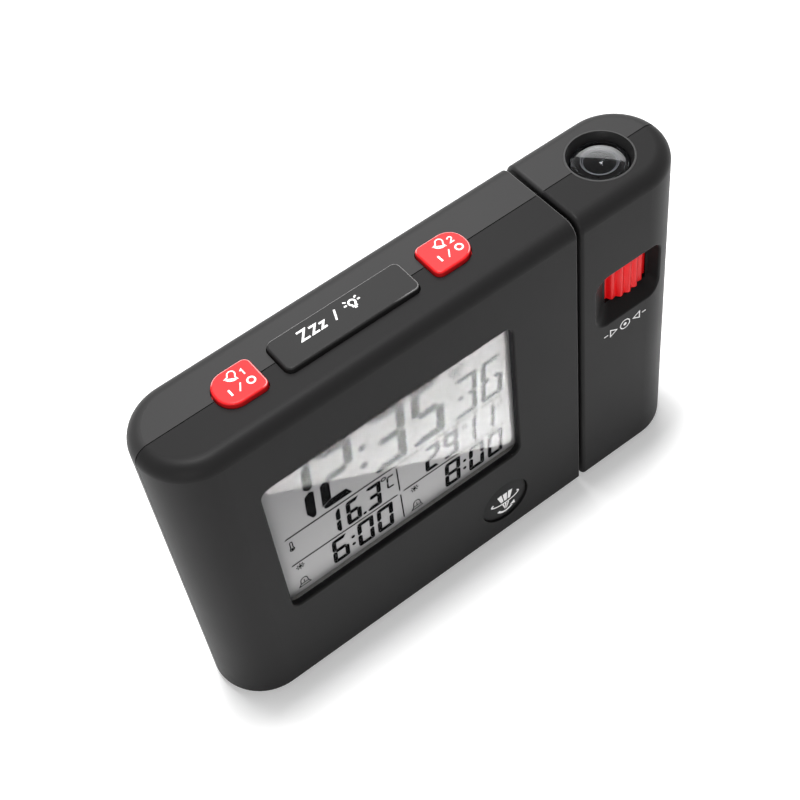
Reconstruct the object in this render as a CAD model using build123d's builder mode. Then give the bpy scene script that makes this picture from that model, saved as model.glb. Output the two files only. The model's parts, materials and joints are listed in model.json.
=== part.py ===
from build123d import *
import math
import os

os.makedirs("parts", exist_ok=True)

# Projection alarm clock: a body with a display and a projector head that swivels beside it.
# Millimetres. X runs to the viewer's right, the display faces -Y and Z rises from the table.

# Casing
seam_gap = 1.2
wall = 1.8
top_round = 3.7
base_round = 1.4
head_edge_round = 1.0
body_edge_round = 0.25
groove_width = 0.3
groove_depth = 0.25

# Clearances
button_clearance = 0.25
flange_clearance = 0.15
running_clearance = 0.1
moving_clearance = 0.3
seat_clearance = 0.05
press_reserve = 0.1

# Rubber feet
foot_height = 2.0
foot_radius = 3.5
foot_spread = 15.0
foot_right_inset = 8.0
foot_chamfer = 0.4

# Display
window_width = 67.8
window_height = 47.6
window_side = 18.725
window_sill = 30.0
window_head = 18.4
window_corner = 2.5
window_edge_round = 0.5
window_lap = 1.5
window_thickness = 1.5
display_lap = 0.7
display_thickness = 1.8
backlight_thickness = 2.0
strip_width = 2.0
strip_inset = 2.0
holder_wall = 1.6
board_thickness = 1.6
board_margin = 4.6
board_room = 2.3
board_boss_radius = 2.0

# Buttons on the top
top_button_depth = 9.4
top_button_rise = 1.3
top_button_travel = 0.8
alarm_button_width = 10.85
button_row_inset = 1.475
button_gap = 4.325
button_outer_round = 4.2
button_inner_round = 1.7
button_edge_round = 0.5
flange_width = 0.9
flange_thickness = 1.0
stem_width = 4.0
stem_depth = 3.0

# Round button on the front
projection_inset = 5.6
projection_height = 13.4
projection_radius = 6.9
projection_travel = 0.8
projection_stem_radius = 2.0
projection_dome = 0.5

# Setting buttons on the back
setting_names = ["mode_button", "up_button", "down_button", "alarm_set_button", "wave_button"]
setting_pitch = 14.0
setting_height = 58.0
setting_width = 9.0
setting_depth = 5.0
setting_round = 2.0
setting_edge_round = 0.25
setting_travel = 0.7
setting_sink = 0.1
setting_recess = 0.7
setting_recess_margin = 3.5
setting_stem_radius = 1.6
key_board_standoff = 4.8
key_board_margin = 4.0

# Key switches
switch_size = 6.0
switch_height = 2.0
switch_lift = 0.5
switch_plunger_radius = 1.7
side_switch_depth = 5.4
side_switch_height = 5.0

# Boards' small parts
chip_radius = 7.0
chip_height = 1.7
chip_offset = 6.0
chip_round = 1.0
crystal_radius = 1.0
crystal_length = 6.0
crystal_drop = 12.0
ribbon_width = 8.0
ribbon_thickness = 0.8
ribbon_drop = 4.0
lead_radius = 0.6
lead_pitch = 5.0

# Antenna
antenna_radius = 3.0
antenna_height = 9.0
antenna_end_gap = 2.5
antenna_gap = 0.4
coil_length = 22.0
coil_thickness = 1.1
saddle_thickness = 2.0
saddle_inset = 5.0
saddle_rim = 1.2

# Buzzer
buzzer_radius = 8.0
buzzer_height = 4.0
buzzer_rise = 12.0
buzzer_lead_side = 4.0
buzzer_lead_rise = 3.0
buzzer_mouth_depth = 2.0
sound_hole_radius = 0.8
sound_ring_radius = 4.0
sound_hole_count = 6

# Battery compartment
cell_radius = 5.25
cell_length = 44.5
cell_gap = 0.6
cell_clearance = 0.2
nub_radius = 1.9
nub_length = 0.8
contact_thickness = 0.4
contact_width = 8.0
spring_length = 4.0
spring_radius = 3.0
spring_bore_radius = 1.5
compartment_wall = 1.4
compartment_height = 19.0
door_ledge = 0.9
door_clearance = 0.3
door_tab_width = 6.0
door_tab_length = 2.2
door_tab_thickness = 1.6
door_tab_root = 3.0
door_tab_offset = 16.0
door_tab_notch = 5.6
door_hinge_inset = 0.2
finger_notch_width = 12.0
finger_notch_height = 3.2

# Casing screws
screw_radius = 1.3
screw_head_radius = 2.6
screw_head_height = 1.8
screw_sink = 8.0
screw_bite = 8.0
post_rim = 0.8
post_side_gap = 0.3
post_end_inset = 9.0
small_screw_radius = 0.9
small_screw_head_radius = 1.9
small_screw_head_height = 1.2
small_screw_bite = 3.6
cross_width = 0.7
cross_depth = 0.6
cross_round = 0.3

# Swivel
hub_radius = 6.0
hub_bore_radius = 3.0
hub_flange_width = 2.0
hub_flange_thickness = 1.6
washer_thickness = 0.6
cable_radius = 0.8
cable_bend = 6.0
socket_length = 6.0
socket_height = 6.0
socket_overhang = 2.0

# Projector
lens_ring_radius = 8.1
lens_ring_lip = 1.1
lens_ring_lip_height = 1.5
funnel_top_radius = 7.7
funnel_depth = 2.4
barrel_rim = 0.6
barrel_tail = 5.05
barrel_sink = 2.1
focus_travel = 1.0
lens_radius = 5.95
lens_edge = 1.6
lens_dome = 1.3
lens_sink = 0.1
rear_lens_radius = 5.0
rear_lens_thickness = 3.0
rear_lens_round = 1.0
tube_wall = 1.2
condenser_thickness = 4.0
condenser_round = 2.0
image_thickness = 1.4
condenser_lift = 18.0
image_lift = 28.0
image_aperture_radius = 4.8
condenser_radius = 6.0
led_radius = 2.5
led_height = 6.5
led_round = 2.2
led_rim_radius = 3.1
led_rim_height = 1.2
head_board_width = 22.0
head_board_depth = 16.0
head_board_height = 7.0
shelf_thickness = 1.6
shelf_lap = 2.0
collar_thickness = 2.0
collar_lift = 44.0
collar_width = 17.0
head_post_gap = 0.5
head_post_inset = 14.0
head_side_room = 2.375

# Focus wheel and its finger recess
wheel_wall = 2.8
wheel_stand = 1.7
wheel_rib_depth = 0.7
wheel_rib_count = 28
recess_width = 14.0
recess_height = 13.9
recess_base = 58.0
recess_corner = 2.0
recess_left_run = 5.6
recess_right_run = 1.2
recess_base_run = 2.2
recess_top_run = 0.8
recess_mouth_corner = 4.0
recess_edge_round = 0.5
recess_wall = 1.2
wheel_end_gap = 0.6
wheel_carrier_thickness = 1.0
pin_radius = 1.0
pin_reach = 1.9

# Places worked out from the sizes above
post_radius = screw_head_radius + moving_clearance + post_rim
head_post_radius = small_screw_head_radius + moving_clearance + post_rim
barrel_radius = lens_radius + seat_clearance + barrel_rim
tube_bore = barrel_radius + running_clearance
tube_radius = tube_bore + tube_wall
display_stack = window_thickness + display_thickness + backlight_thickness + board_thickness
bay_depth = 2 * cell_radius + 2 * cell_clearance + door_ledge
casing_depth = 2 * wall + display_stack + board_room + compartment_wall + bay_depth
casing_height = window_sill + window_height + window_head
body_width = window_width + 2 * window_side
head_width = 2 * (tube_radius + head_post_gap + 2 * head_post_radius + head_side_room)
clock_width = body_width + seam_gap + head_width
half_depth = casing_depth / 2
left_tip = -clock_width / 2
right_tip = clock_width / 2
seam_x = left_tip + body_width
head_left = seam_x + seam_gap
body_mid = left_tip + body_width / 2
lens_x = (head_left + right_tip) / 2
base_z = foot_height
top_z = base_z + casing_height
swivel_z = base_z + casing_height / 2
inner_depth = half_depth - wall
floor_z = base_z + wall
ceiling_z = top_z - wall

window_z = base_z + window_sill + window_height / 2
window_y = -inner_depth
display_y = window_y + window_thickness
backlight_y = display_y + display_thickness
board_y = backlight_y + backlight_thickness
board_back = board_y + board_thickness
plate_width = window_width + 2 * window_lap
plate_height = window_height + 2 * window_lap
holder_width = plate_width + 2 * seat_clearance + 2 * holder_wall
holder_height = plate_height + 2 * seat_clearance + 2 * holder_wall
board_base = window_z - holder_height / 2 - board_margin
board_top = window_z + holder_height / 2 + board_margin
boss_x = holder_width / 2 - board_boss_radius - seat_clearance
boss_z = (holder_height + board_margin) / 2
board_bosses = [(body_mid + i * boss_x, window_z + j * boss_z) for i in (-1, 1) for j in (-1, 1)]

alarm_button_offset = (window_width - alarm_button_width) / 2 - button_row_inset
snooze_width = 2 * (alarm_button_offset - button_gap) - alarm_button_width
alarm_1_x = body_mid - alarm_button_offset
alarm_2_x = body_mid + alarm_button_offset
flange_top = ceiling_z - flange_clearance
side_switch_y = board_back + side_switch_depth / 2
side_plunger_top = board_top + switch_lift
stem_base = side_plunger_top + top_button_travel + press_reserve

projection_x = body_mid + window_width / 2 - projection_inset
projection_z = base_z + projection_height
front_plunger_y = board_y - switch_height - switch_lift
projection_back = front_plunger_y - projection_travel - press_reserve

setting_z = base_z + setting_height
setting_xs = [body_mid + setting_pitch * (i - 2) for i in range(len(setting_names))]
setting_span = setting_xs[-1] - setting_xs[0] + setting_width
key_board_y = inner_depth - key_board_standoff
key_board_width = setting_span + 2 * key_board_margin + 4 * board_boss_radius
key_boss_x = (setting_span + 2 * board_boss_radius) / 2 + key_board_margin
key_bosses = [(body_mid - key_boss_x, setting_z), (body_mid + key_boss_x, setting_z)]
rear_plunger_y = key_board_y + switch_height + switch_lift
setting_front = rear_plunger_y + setting_travel + press_reserve

bay_length = cell_length + spring_length + 2 * contact_thickness + 2 * cell_clearance
bay_height = 4 * cell_radius + cell_gap + 2 * cell_clearance
bay_z = base_z + compartment_height
door_width = bay_length + 2 * door_ledge
door_height = bay_height + 2 * door_ledge
door_base = bay_z - door_height / 2
bay_floor = inner_depth - bay_depth
cell_y = bay_floor + cell_clearance + cell_radius
cell_rise = cell_radius + cell_gap / 2
tab_back = inner_depth - door_clearance

body_round_x = left_tip + half_depth
post_offset = holder_width / 2 + post_side_gap + post_radius
body_posts = [(body_mid + side * post_offset, z) for side in (-1, 1)
              for z in (base_z + post_end_inset, top_z - post_end_inset)]
screw_seat = half_depth - screw_sink
sink_radius = screw_head_radius + moving_clearance
small_sink_radius = small_screw_head_radius + moving_clearance
buzzer_x = (body_mid + bay_length / 2 + compartment_wall + seam_x - wall) / 2
buzzer_z = bay_z + buzzer_rise
antenna_left = body_mid - post_offset + post_radius + antenna_end_gap
antenna_length = projection_x - switch_size - antenna_end_gap - antenna_left

head_board_z = base_z + head_board_height
head_board_top = head_board_z + board_thickness
recess_z = base_z + recess_base + recess_height / 2
wheel_bore = tube_radius + running_clearance
wheel_radius = wheel_bore + wheel_wall
recess_floor = wheel_stand - wheel_radius
mouth_x = lens_x + (recess_right_run - recess_left_run) / 2
mouth_width = recess_width + recess_left_run + recess_right_run
mouth_base = recess_z - recess_height / 2 - recess_base_run
mouth_height = recess_height + recess_base_run + recess_top_run
wheel_height = recess_height - 2 * wheel_end_gap
wheel_base = recess_z - wheel_height / 2
wheel_top = recess_z + wheel_height / 2
tube_top = wheel_top + collar_thickness
barrel_top = top_z - barrel_sink
pin_z = recess_z
barrel_base = pin_z - barrel_tail
head_post_x = lens_x + tube_radius + head_post_gap + head_post_radius
head_left_post_x = head_left + wall + head_post_gap + head_post_radius
antenna_y = -inner_depth + antenna_gap + coil_thickness + antenna_radius
upper_post_z = (mouth_base + mouth_height + ceiling_z) / 2
head_posts = [(head_left_post_x, upper_post_z), (head_post_x, upper_post_z),
              (head_post_x, base_z + head_post_inset)]


def facing_front(y):
    """Vertical plane at depth y whose normal points to the front and whose up is Z."""
    return Plane.XZ.offset(-y)


def plan_face(flat_x, tip_x, half):
    """Casing plan: straight sides half a depth out, one flat end and one half-round end."""
    centre_x = tip_x + half if tip_x < flat_x else tip_x - half
    with BuildSketch(mode=Mode.PRIVATE) as plan:
        with BuildLine():
            Polyline((centre_x, -half), (flat_x, -half), (flat_x, half), (centre_x, half))
            ThreePointArc((centre_x, half), (tip_x, 0), (centre_x, -half))
        make_face()
    return plan.sketch


def button_face(width, depth, left_round, right_round):
    """Button plan: a rectangle whose two ends have corner radii of their own."""
    with BuildSketch(mode=Mode.PRIVATE) as plan:
        Rectangle(width, depth)
        fillet(plan.vertices().group_by(Axis.X)[0], left_round)
        fillet(plan.vertices().group_by(Axis.X)[-1], right_round)
    return plan.sketch


def parting_face(far_x, tip_x):
    """What the groove at the parting plane leaves of the casing, from its tip to past its flat end."""
    with BuildSketch(mode=Mode.PRIVATE) as section:
        with Locations(((far_x + tip_x) / 2, swivel_z)):
            Rectangle(abs(far_x - tip_x), casing_height - 2 * groove_depth)
        tip_corners = section.vertices().filter_by(lambda corner: abs(corner.X - tip_x) < groove_depth)
        fillet(tip_corners.sort_by(Axis.Y)[-1], top_round - groove_depth)
        tip_corners = section.vertices().filter_by(lambda corner: abs(corner.X - tip_x) < groove_depth)
        fillet(tip_corners.sort_by(Axis.Y)[0], base_round - groove_depth)
    return section.sketch


def hollow_casing(flat_x, tip_x, flat_round):
    """Closed casing of one wall thickness, rounded along the top and the base, grooved at mid-depth."""
    inward = math.copysign(wall, flat_x - tip_x)
    outer_plan = plan_face(flat_x, tip_x, half_depth)
    inner_plan = plan_face(flat_x - inward, tip_x + inward, inner_depth)
    groove_core = parting_face(flat_x + inward, tip_x + math.copysign(groove_depth, inward))
    with BuildPart() as casing:
        with BuildSketch(Plane.XY.offset(base_z)):
            add(outer_plan)
        extrude(amount=casing_height)
        top_edges = casing.faces().sort_by(Axis.Z)[-1].edges()
        fillet(top_edges.filter_by(lambda edge: abs(edge.center().X - flat_x) > wall), top_round)
        base_edges = casing.faces().sort_by(Axis.Z)[0].edges()
        fillet(base_edges.filter_by(lambda edge: abs(edge.center().X - flat_x) > wall), base_round)
        fillet(casing.faces().filter_by(Axis.X)[0].edges(), flat_round)
        with BuildSketch(Plane.XY.offset(floor_z)):
            add(inner_plan)
        extrude(amount=casing_height - 2 * wall, mode=Mode.SUBTRACT)
        with BuildSketch(facing_front(groove_width / 2)):
            with Locations(((flat_x + tip_x) / 2, swivel_z)):
                Rectangle(abs(flat_x - tip_x) + 2 * wall, casing_height + 2 * wall)
            add(groove_core, mode=Mode.SUBTRACT)
        extrude(amount=groove_width, mode=Mode.SUBTRACT)
    return casing.part


def wall_post(x, z, radius, plan):
    """Screw post from the front wall to the rear wall, ending inside the walls' thickness."""
    with BuildPart() as post:
        with BuildSketch(facing_front(half_depth)):
            with Locations((x, z)):
                Circle(radius)
        extrude(amount=casing_depth)
        with BuildSketch(Plane.XY.offset(base_z)):
            add(plan)
        extrude(amount=casing_height, mode=Mode.INTERSECT)
    return post.part


def screw_solid(x, z, seat_y, length, radius, head_radius, head_height):
    """Pan-head screw along Y: the head lies behind seat_y and the shank runs to the front."""
    with BuildPart() as screw:
        with BuildSketch(facing_front(seat_y)):
            with Locations((x, z)):
                Circle(radius)
        extrude(amount=length)
        with BuildSketch(facing_front(seat_y + head_height)):
            with Locations((x, z)):
                Circle(head_radius)
        extrude(amount=head_height)
        with BuildSketch(facing_front(seat_y + head_height)):
            with Locations((x, z)):
                RectangleRounded(head_radius, cross_width, cross_round)
                RectangleRounded(cross_width, head_radius, cross_round)
        extrude(amount=cross_depth, mode=Mode.SUBTRACT)
    return screw.part


def switch_solid(x, z, board_face, outward):
    """Key switch on a board: a square housing with a round plunger, rising along outward Y."""
    with BuildPart() as switch:
        with Locations((x, board_face + outward * switch_height / 2, z)):
            Box(switch_size, switch_height, switch_size)
        with Locations((x, board_face + outward * (switch_height + switch_lift / 2), z)):
            Cylinder(switch_plunger_radius, switch_lift, rotation=(90, 0, 0))
    return switch.part


# Openings that both halves of the body share
gap = button_clearance
alarm_1_face = button_face(alarm_button_width, top_button_depth, button_outer_round, button_inner_round)
alarm_2_face = button_face(alarm_button_width, top_button_depth, button_inner_round, button_outer_round)
snooze_face = button_face(snooze_width, top_button_depth, button_inner_round, button_inner_round)
top_buttons = [(alarm_1_x, alarm_1_face), (alarm_2_x, alarm_2_face), (body_mid, snooze_face)]

body_hollow = hollow_casing(seam_x, left_tip, body_edge_round)
body_wall_plan = plan_face(seam_x - wall / 2, left_tip + wall / 2, half_depth - wall / 2)
with BuildPart() as body_shell:
    add(body_hollow)
    for x, z in body_posts:
        add(wall_post(x, z, post_radius, body_wall_plan))
    for x, face in top_buttons:
        with BuildSketch(Plane.XY.offset(top_z)):
            with Locations((x, 0)):
                add(face)
            offset(amount=gap, mode=Mode.REPLACE)
        extrude(amount=-wall, mode=Mode.SUBTRACT)
    with BuildSketch(Plane.YZ.offset(seam_x)):
        with Locations((0, swivel_z)):
            Circle(hub_radius + running_clearance)
    extrude(amount=-wall, mode=Mode.SUBTRACT)

# Front casing
with BuildPart() as front_casing:
    add(body_shell.part)
    split(bisect_by=Plane.XZ, keep=Keep.TOP)
    with BuildSketch(Plane.XZ):
        with Locations(*body_posts):
            Circle(screw_radius)
    extrude(amount=screw_bite, mode=Mode.SUBTRACT)
    with BuildSketch(facing_front(board_y)):
        with Locations(*board_bosses):
            Circle(board_boss_radius)
            Circle(small_screw_radius, mode=Mode.SUBTRACT)
    extrude(amount=inner_depth + board_y)
    for side in (-1, 1):
        saddle_x = antenna_left + antenna_length / 2 + side * (antenna_length / 2 - saddle_inset)
        saddle_half = antenna_radius + saddle_rim
        with BuildSketch(Plane.YZ.offset(saddle_x - saddle_thickness / 2)):
            with Locations(((antenna_y - inner_depth) / 2, base_z + antenna_height)):
                Rectangle(inner_depth + antenna_y, 2 * saddle_half)
            with Locations((antenna_y, base_z + antenna_height)):
                Circle(antenna_radius + seat_clearance, mode=Mode.SUBTRACT)
        extrude(amount=saddle_thickness)
    with BuildSketch(facing_front(-half_depth)):
        with Locations((body_mid, window_z)):
            RectangleRounded(window_width, window_height, window_corner)
        with Locations((projection_x, projection_z)):
            Circle(projection_radius + button_clearance)
    extrude(amount=-wall, mode=Mode.SUBTRACT)
    front_edges = front_casing.edges().filter_by_position(Axis.Y, -half_depth, -half_depth)
    window_edges = front_edges.filter_by_position(Axis.Z, base_z + window_sill - wall, board_top)
    window_right = body_mid + plate_width / 2
    window_edges = window_edges.filter_by_position(Axis.X, window_right - plate_width, window_right)
    fillet(window_edges, window_edge_round)
front_casing.part.label = "front_casing"
export_step(front_casing.part, "parts/front_casing.step")

# Rear casing with the battery bay
tab_xs = [body_mid - door_tab_offset, body_mid + door_tab_offset]
with BuildPart() as rear_casing:
    add(body_shell.part)
    split(bisect_by=Plane.XZ, keep=Keep.BOTTOM)
    with BuildSketch(facing_front(inner_depth)):
        with Locations(*key_bosses):
            Circle(board_boss_radius)
            Circle(small_screw_radius, mode=Mode.SUBTRACT)
    extrude(amount=key_board_standoff)
    with BuildSketch(facing_front(inner_depth)):
        with Locations((body_mid, bay_z)):
            Rectangle(bay_length + 2 * compartment_wall, bay_height + 2 * compartment_wall)
    extrude(amount=inner_depth - bay_floor + compartment_wall)
    with BuildSketch(facing_front(inner_depth)):
        with Locations((body_mid, bay_z)):
            Rectangle(bay_length, bay_height)
    extrude(amount=inner_depth - bay_floor, mode=Mode.SUBTRACT)
    with BuildSketch(facing_front(half_depth)):
        with Locations((body_mid, bay_z)):
            Rectangle(door_width + 2 * door_clearance, door_height + 2 * door_clearance)
        with Locations((body_mid, bay_z + door_height / 2)):
            SlotOverall(finger_notch_width, finger_notch_height)
    extrude(amount=wall, mode=Mode.SUBTRACT)
    tab_sweep = math.hypot(half_depth - door_hinge_inset - tab_back + door_tab_thickness, door_tab_length)
    tab_room = tab_sweep + moving_clearance + door_hinge_inset - wall
    for x in tab_xs:
        with Locations((x, inner_depth - tab_room / 2, door_base)):
            Box(door_tab_width + 2 * door_clearance, tab_room, door_tab_notch, mode=Mode.SUBTRACT)
    with BuildSketch(facing_front(half_depth)):
        with Locations((body_mid, setting_z)):
            RectangleRounded(setting_span + 2 * setting_recess_margin,
                             setting_depth + 2 * setting_recess_margin, setting_recess_margin)
    extrude(amount=setting_recess, mode=Mode.SUBTRACT)
    with BuildSketch(facing_front(half_depth)):
        for x in setting_xs:
            with Locations((x, setting_z)):
                RectangleRounded(setting_width + 2 * gap, setting_depth + 2 * gap, setting_round + gap)
    extrude(amount=wall, mode=Mode.SUBTRACT)
    with BuildSketch(facing_front(half_depth)):
        with Locations((buzzer_x, buzzer_z)):
            Circle(sound_hole_radius)
            with PolarLocations(sound_ring_radius, sound_hole_count):
                Circle(sound_hole_radius)
    extrude(amount=wall, mode=Mode.SUBTRACT)
    with BuildSketch(facing_front(half_depth)):
        with Locations(*body_posts):
            Circle(sink_radius)
    extrude(amount=screw_sink, mode=Mode.SUBTRACT)
    with BuildSketch(facing_front(half_depth)):
        with Locations(*body_posts):
            Circle(screw_radius + moving_clearance)
    extrude(amount=half_depth, mode=Mode.SUBTRACT)
rear_casing.part.label = "rear_casing"
export_step(rear_casing.part, "parts/rear_casing.step")

# Rubber feet
left_foot_x = body_round_x
right_foot_x = seam_x - foot_right_inset
foot_points = [(x, j * foot_spread / 2) for x in (left_foot_x, right_foot_x) for j in (-1, 1)]
with BuildPart() as feet:
    with BuildSketch(Plane.XY):
        with Locations(*foot_points):
            Circle(foot_radius)
    extrude(amount=foot_height)
    chamfer(feet.faces().group_by(Axis.Z)[0].edges(), foot_chamfer)
feet.part.label = "feet"
export_step(feet.part, "parts/feet.step")

# Display stack, front to back
with BuildPart() as lcd_window:
    with BuildSketch(facing_front(display_y)):
        with Locations((body_mid, window_z)):
            Rectangle(plate_width, plate_height)
    extrude(amount=window_thickness)
lcd_window.part.label = "lcd_window"
export_step(lcd_window.part, "parts/lcd_window.step")

panel_width = window_width + 2 * display_lap
panel_height = window_height + 2 * display_lap
with BuildPart() as lcd_panel:
    with BuildSketch(facing_front(backlight_y)):
        with Locations((body_mid, window_z)):
            Rectangle(panel_width, panel_height)
    extrude(amount=display_thickness)
lcd_panel.part.label = "lcd_panel"
export_step(lcd_panel.part, "parts/lcd_panel.step")

strip_rise = panel_height / 2 - strip_width / 2
with BuildPart() as zebra_strips:
    with BuildSketch(facing_front(board_y)):
        with Locations((body_mid, window_z - strip_rise), (body_mid, window_z + strip_rise)):
            Rectangle(panel_width - 2 * strip_inset, strip_width)
    extrude(amount=backlight_thickness)
zebra_strips.part.label = "zebra_strips"
export_step(zebra_strips.part, "parts/zebra_strips.step")

with BuildPart() as backlight_plate:
    with BuildSketch(facing_front(board_y)):
        with Locations((body_mid, window_z)):
            Rectangle(panel_width, panel_height - 2 * strip_width - 4 * seat_clearance)
    extrude(amount=backlight_thickness)
backlight_plate.part.label = "backlight_plate"
export_step(backlight_plate.part, "parts/backlight_plate.step")

with BuildPart() as lcd_holder:
    with BuildSketch(facing_front(board_y)):
        with Locations((body_mid, window_z)):
            Rectangle(holder_width, holder_height)
            Rectangle(plate_width + 2 * seat_clearance, plate_height + 2 * seat_clearance, mode=Mode.SUBTRACT)
    extrude(amount=board_y - window_y)
lcd_holder.part.label = "lcd_holder"
export_step(lcd_holder.part, "parts/lcd_holder.step")

tongue_base = projection_z - switch_size
with BuildPart() as main_board:
    with BuildSketch(facing_front(board_back)):
        with Locations((body_mid, (board_base + board_top) / 2)):
            Rectangle(holder_width, board_top - board_base)
        with Locations((projection_x, (tongue_base + board_base) / 2)):
            Rectangle(2 * switch_size, board_base - tongue_base)
        with Locations(*board_bosses):
            Circle(small_screw_radius + seat_clearance, mode=Mode.SUBTRACT)
    extrude(amount=board_thickness)
main_board.part.label = "main_board"
export_step(main_board.part, "parts/main_board.step")

with BuildPart() as board_screws:
    for x, z in board_bosses:
        add(screw_solid(x, z, board_back, board_thickness + small_screw_bite, small_screw_radius,
                        small_screw_head_radius, small_screw_head_height))
board_screws.part.label = "board_screws"
export_step(board_screws.part, "parts/board_screws.step")

with BuildPart() as controller_chip:
    with BuildSketch(facing_front(board_back + chip_height)):
        with Locations((body_mid - chip_offset, window_z)):
            Circle(chip_radius)
    extrude(amount=chip_height)
    fillet(controller_chip.faces().sort_by(Axis.Y)[-1].edges(), chip_round)
controller_chip.part.label = "controller_chip"
export_step(controller_chip.part, "parts/controller_chip.step")

with BuildPart() as quartz_crystal:
    with BuildSketch(Plane.YZ.offset(body_mid - chip_offset - crystal_length / 2)):
        with Locations((board_back + crystal_radius, window_z - crystal_drop)):
            Circle(crystal_radius)
    extrude(amount=crystal_length)
quartz_crystal.part.label = "quartz_crystal"
export_step(quartz_crystal.part, "parts/quartz_crystal.step")

# Switches under the three top buttons and behind the round front button
with BuildPart() as key_switches:
    for x, face in top_buttons:
        with Locations((x, side_switch_y, board_top - side_switch_height / 2)):
            Box(switch_size, side_switch_depth, side_switch_height)
        with Locations((x, side_switch_y, board_top + switch_lift / 2)):
            Cylinder(switch_plunger_radius, switch_lift)
    add(switch_solid(projection_x, projection_z, board_y, -1))
key_switches.part.label = "key_switches"
export_step(key_switches.part, "parts/key_switches.step")


def top_button_solid(x, face):
    """Cap above the casing, retaining flange under the top wall and a stem to the switch."""
    with BuildPart() as button:
        with BuildSketch(Plane.XY.offset(flange_top)):
            with Locations((x, 0)):
                add(face)
        extrude(amount=top_z + top_button_rise - flange_top)
        fillet(button.faces().sort_by(Axis.Z)[-1].edges(), button_edge_round)
        with BuildSketch(Plane.XY.offset(flange_top)):
            with Locations((x, 0)):
                add(face)
            offset(amount=flange_width, mode=Mode.REPLACE)
        extrude(amount=-flange_thickness)
        with BuildSketch(Plane.XY.offset(flange_top - flange_thickness)):
            with Locations((x, side_switch_y)):
                Rectangle(stem_width, stem_depth)
        extrude(amount=stem_base - flange_top + flange_thickness)
    return button.part


with BuildPart() as alarm_button_1:
    add(top_button_solid(alarm_1_x, alarm_1_face))
alarm_button_1.part.label = "alarm_button_1"
export_step(alarm_button_1.part, "parts/alarm_button_1.step")

with BuildPart() as alarm_button_2:
    add(top_button_solid(alarm_2_x, alarm_2_face))
alarm_button_2.part.label = "alarm_button_2"
export_step(alarm_button_2.part, "parts/alarm_button_2.step")

with BuildPart() as snooze_bar:
    add(top_button_solid(body_mid, snooze_face))
snooze_bar.part.label = "snooze_bar"
export_step(snooze_bar.part, "parts/snooze_bar.step")

# Round front button: a low dome level with the casing, a flange behind the wall and a stem
dome_edge = -half_depth + projection_dome
flange_front = -inner_depth + flange_clearance
flange_back = flange_front + flange_thickness
with BuildPart() as projection_button:
    with BuildSketch(Plane.XY.offset(projection_z)):
        with BuildLine():
            ThreePointArc((projection_x, -half_depth),
                          (projection_x + projection_radius / 2, -half_depth + projection_dome / 4),
                          (projection_x + projection_radius, dome_edge))
            Polyline((projection_x + projection_radius, dome_edge),
                     (projection_x + projection_radius, flange_front),
                     (projection_x + projection_radius + flange_width, flange_front),
                     (projection_x + projection_radius + flange_width, flange_back),
                     (projection_x + projection_stem_radius, flange_back),
                     (projection_x + projection_stem_radius, projection_back),
                     (projection_x, projection_back),
                     (projection_x, -half_depth))
        make_face()
    revolve(axis=Axis((projection_x, 0, projection_z), (0, 1, 0)))
projection_button.part.label = "projection_button"
export_step(projection_button.part, "parts/projection_button.step")

# Setting buttons on the back, each a node of its own
for name, x in zip(setting_names, setting_xs):
    setting_flange = inner_depth - flange_clearance
    with BuildPart() as setting_button:
        with BuildSketch(facing_front(half_depth - setting_sink)):
            with Locations((x, setting_z)):
                RectangleRounded(setting_width, setting_depth, setting_round)
        extrude(amount=half_depth - setting_sink - setting_flange)
        fillet(setting_button.faces().sort_by(Axis.Y)[-1].edges(), setting_edge_round)
        with BuildSketch(facing_front(setting_flange)):
            with Locations((x, setting_z)):
                RectangleRounded(setting_width + 2 * flange_width, setting_depth + 2 * flange_width,
                                 setting_round)
        extrude(amount=flange_thickness)
        with BuildSketch(facing_front(setting_flange - flange_thickness)):
            with Locations((x, setting_z)):
                Circle(setting_stem_radius)
        extrude(amount=setting_flange - flange_thickness - setting_front)
    setting_button.part.label = name
    export_step(setting_button.part, f"parts/{name}.step")

with BuildPart() as key_board:
    with BuildSketch(facing_front(key_board_y)):
        with Locations((body_mid, setting_z)):
            Rectangle(key_board_width, 2 * switch_size)
        with Locations(*key_bosses):
            Circle(small_screw_radius + seat_clearance, mode=Mode.SUBTRACT)
    extrude(amount=board_thickness)
key_board.part.label = "key_board"
export_step(key_board.part, "parts/key_board.step")

with BuildPart() as setting_switches:
    for x in setting_xs:
        add(switch_solid(x, setting_z, key_board_y, 1))
setting_switches.part.label = "setting_switches"
export_step(setting_switches.part, "parts/setting_switches.step")

key_board_front = key_board_y - board_thickness
with BuildPart() as key_board_screws:
    for x, z in key_bosses:
        with BuildSketch(facing_front(key_board_front + board_thickness + small_screw_bite)):
            with Locations((x, z)):
                Circle(small_screw_radius)
        extrude(amount=board_thickness + small_screw_bite)
        with BuildSketch(facing_front(key_board_front)):
            with Locations((x, z)):
                Circle(small_screw_head_radius)
        extrude(amount=small_screw_head_height)
key_board_screws.part.label = "key_board_screws"
export_step(key_board_screws.part, "parts/key_board_screws.step")

with BuildPart() as board_ribbon:
    ribbon_z = setting_z - ribbon_drop
    with Locations((body_mid + setting_pitch, (board_back + key_board_front) / 2, ribbon_z)):
        Box(ribbon_width, key_board_front - board_back, ribbon_thickness)
board_ribbon.part.label = "board_ribbon"
export_step(board_ribbon.part, "parts/board_ribbon.step")

# Antenna on its two saddles
with BuildPart() as antenna_rod:
    with BuildSketch(Plane.YZ.offset(antenna_left)):
        with Locations((antenna_y, base_z + antenna_height)):
            Circle(antenna_radius)
    extrude(amount=antenna_length)
antenna_rod.part.label = "antenna_rod"
export_step(antenna_rod.part, "parts/antenna_rod.step")

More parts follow.
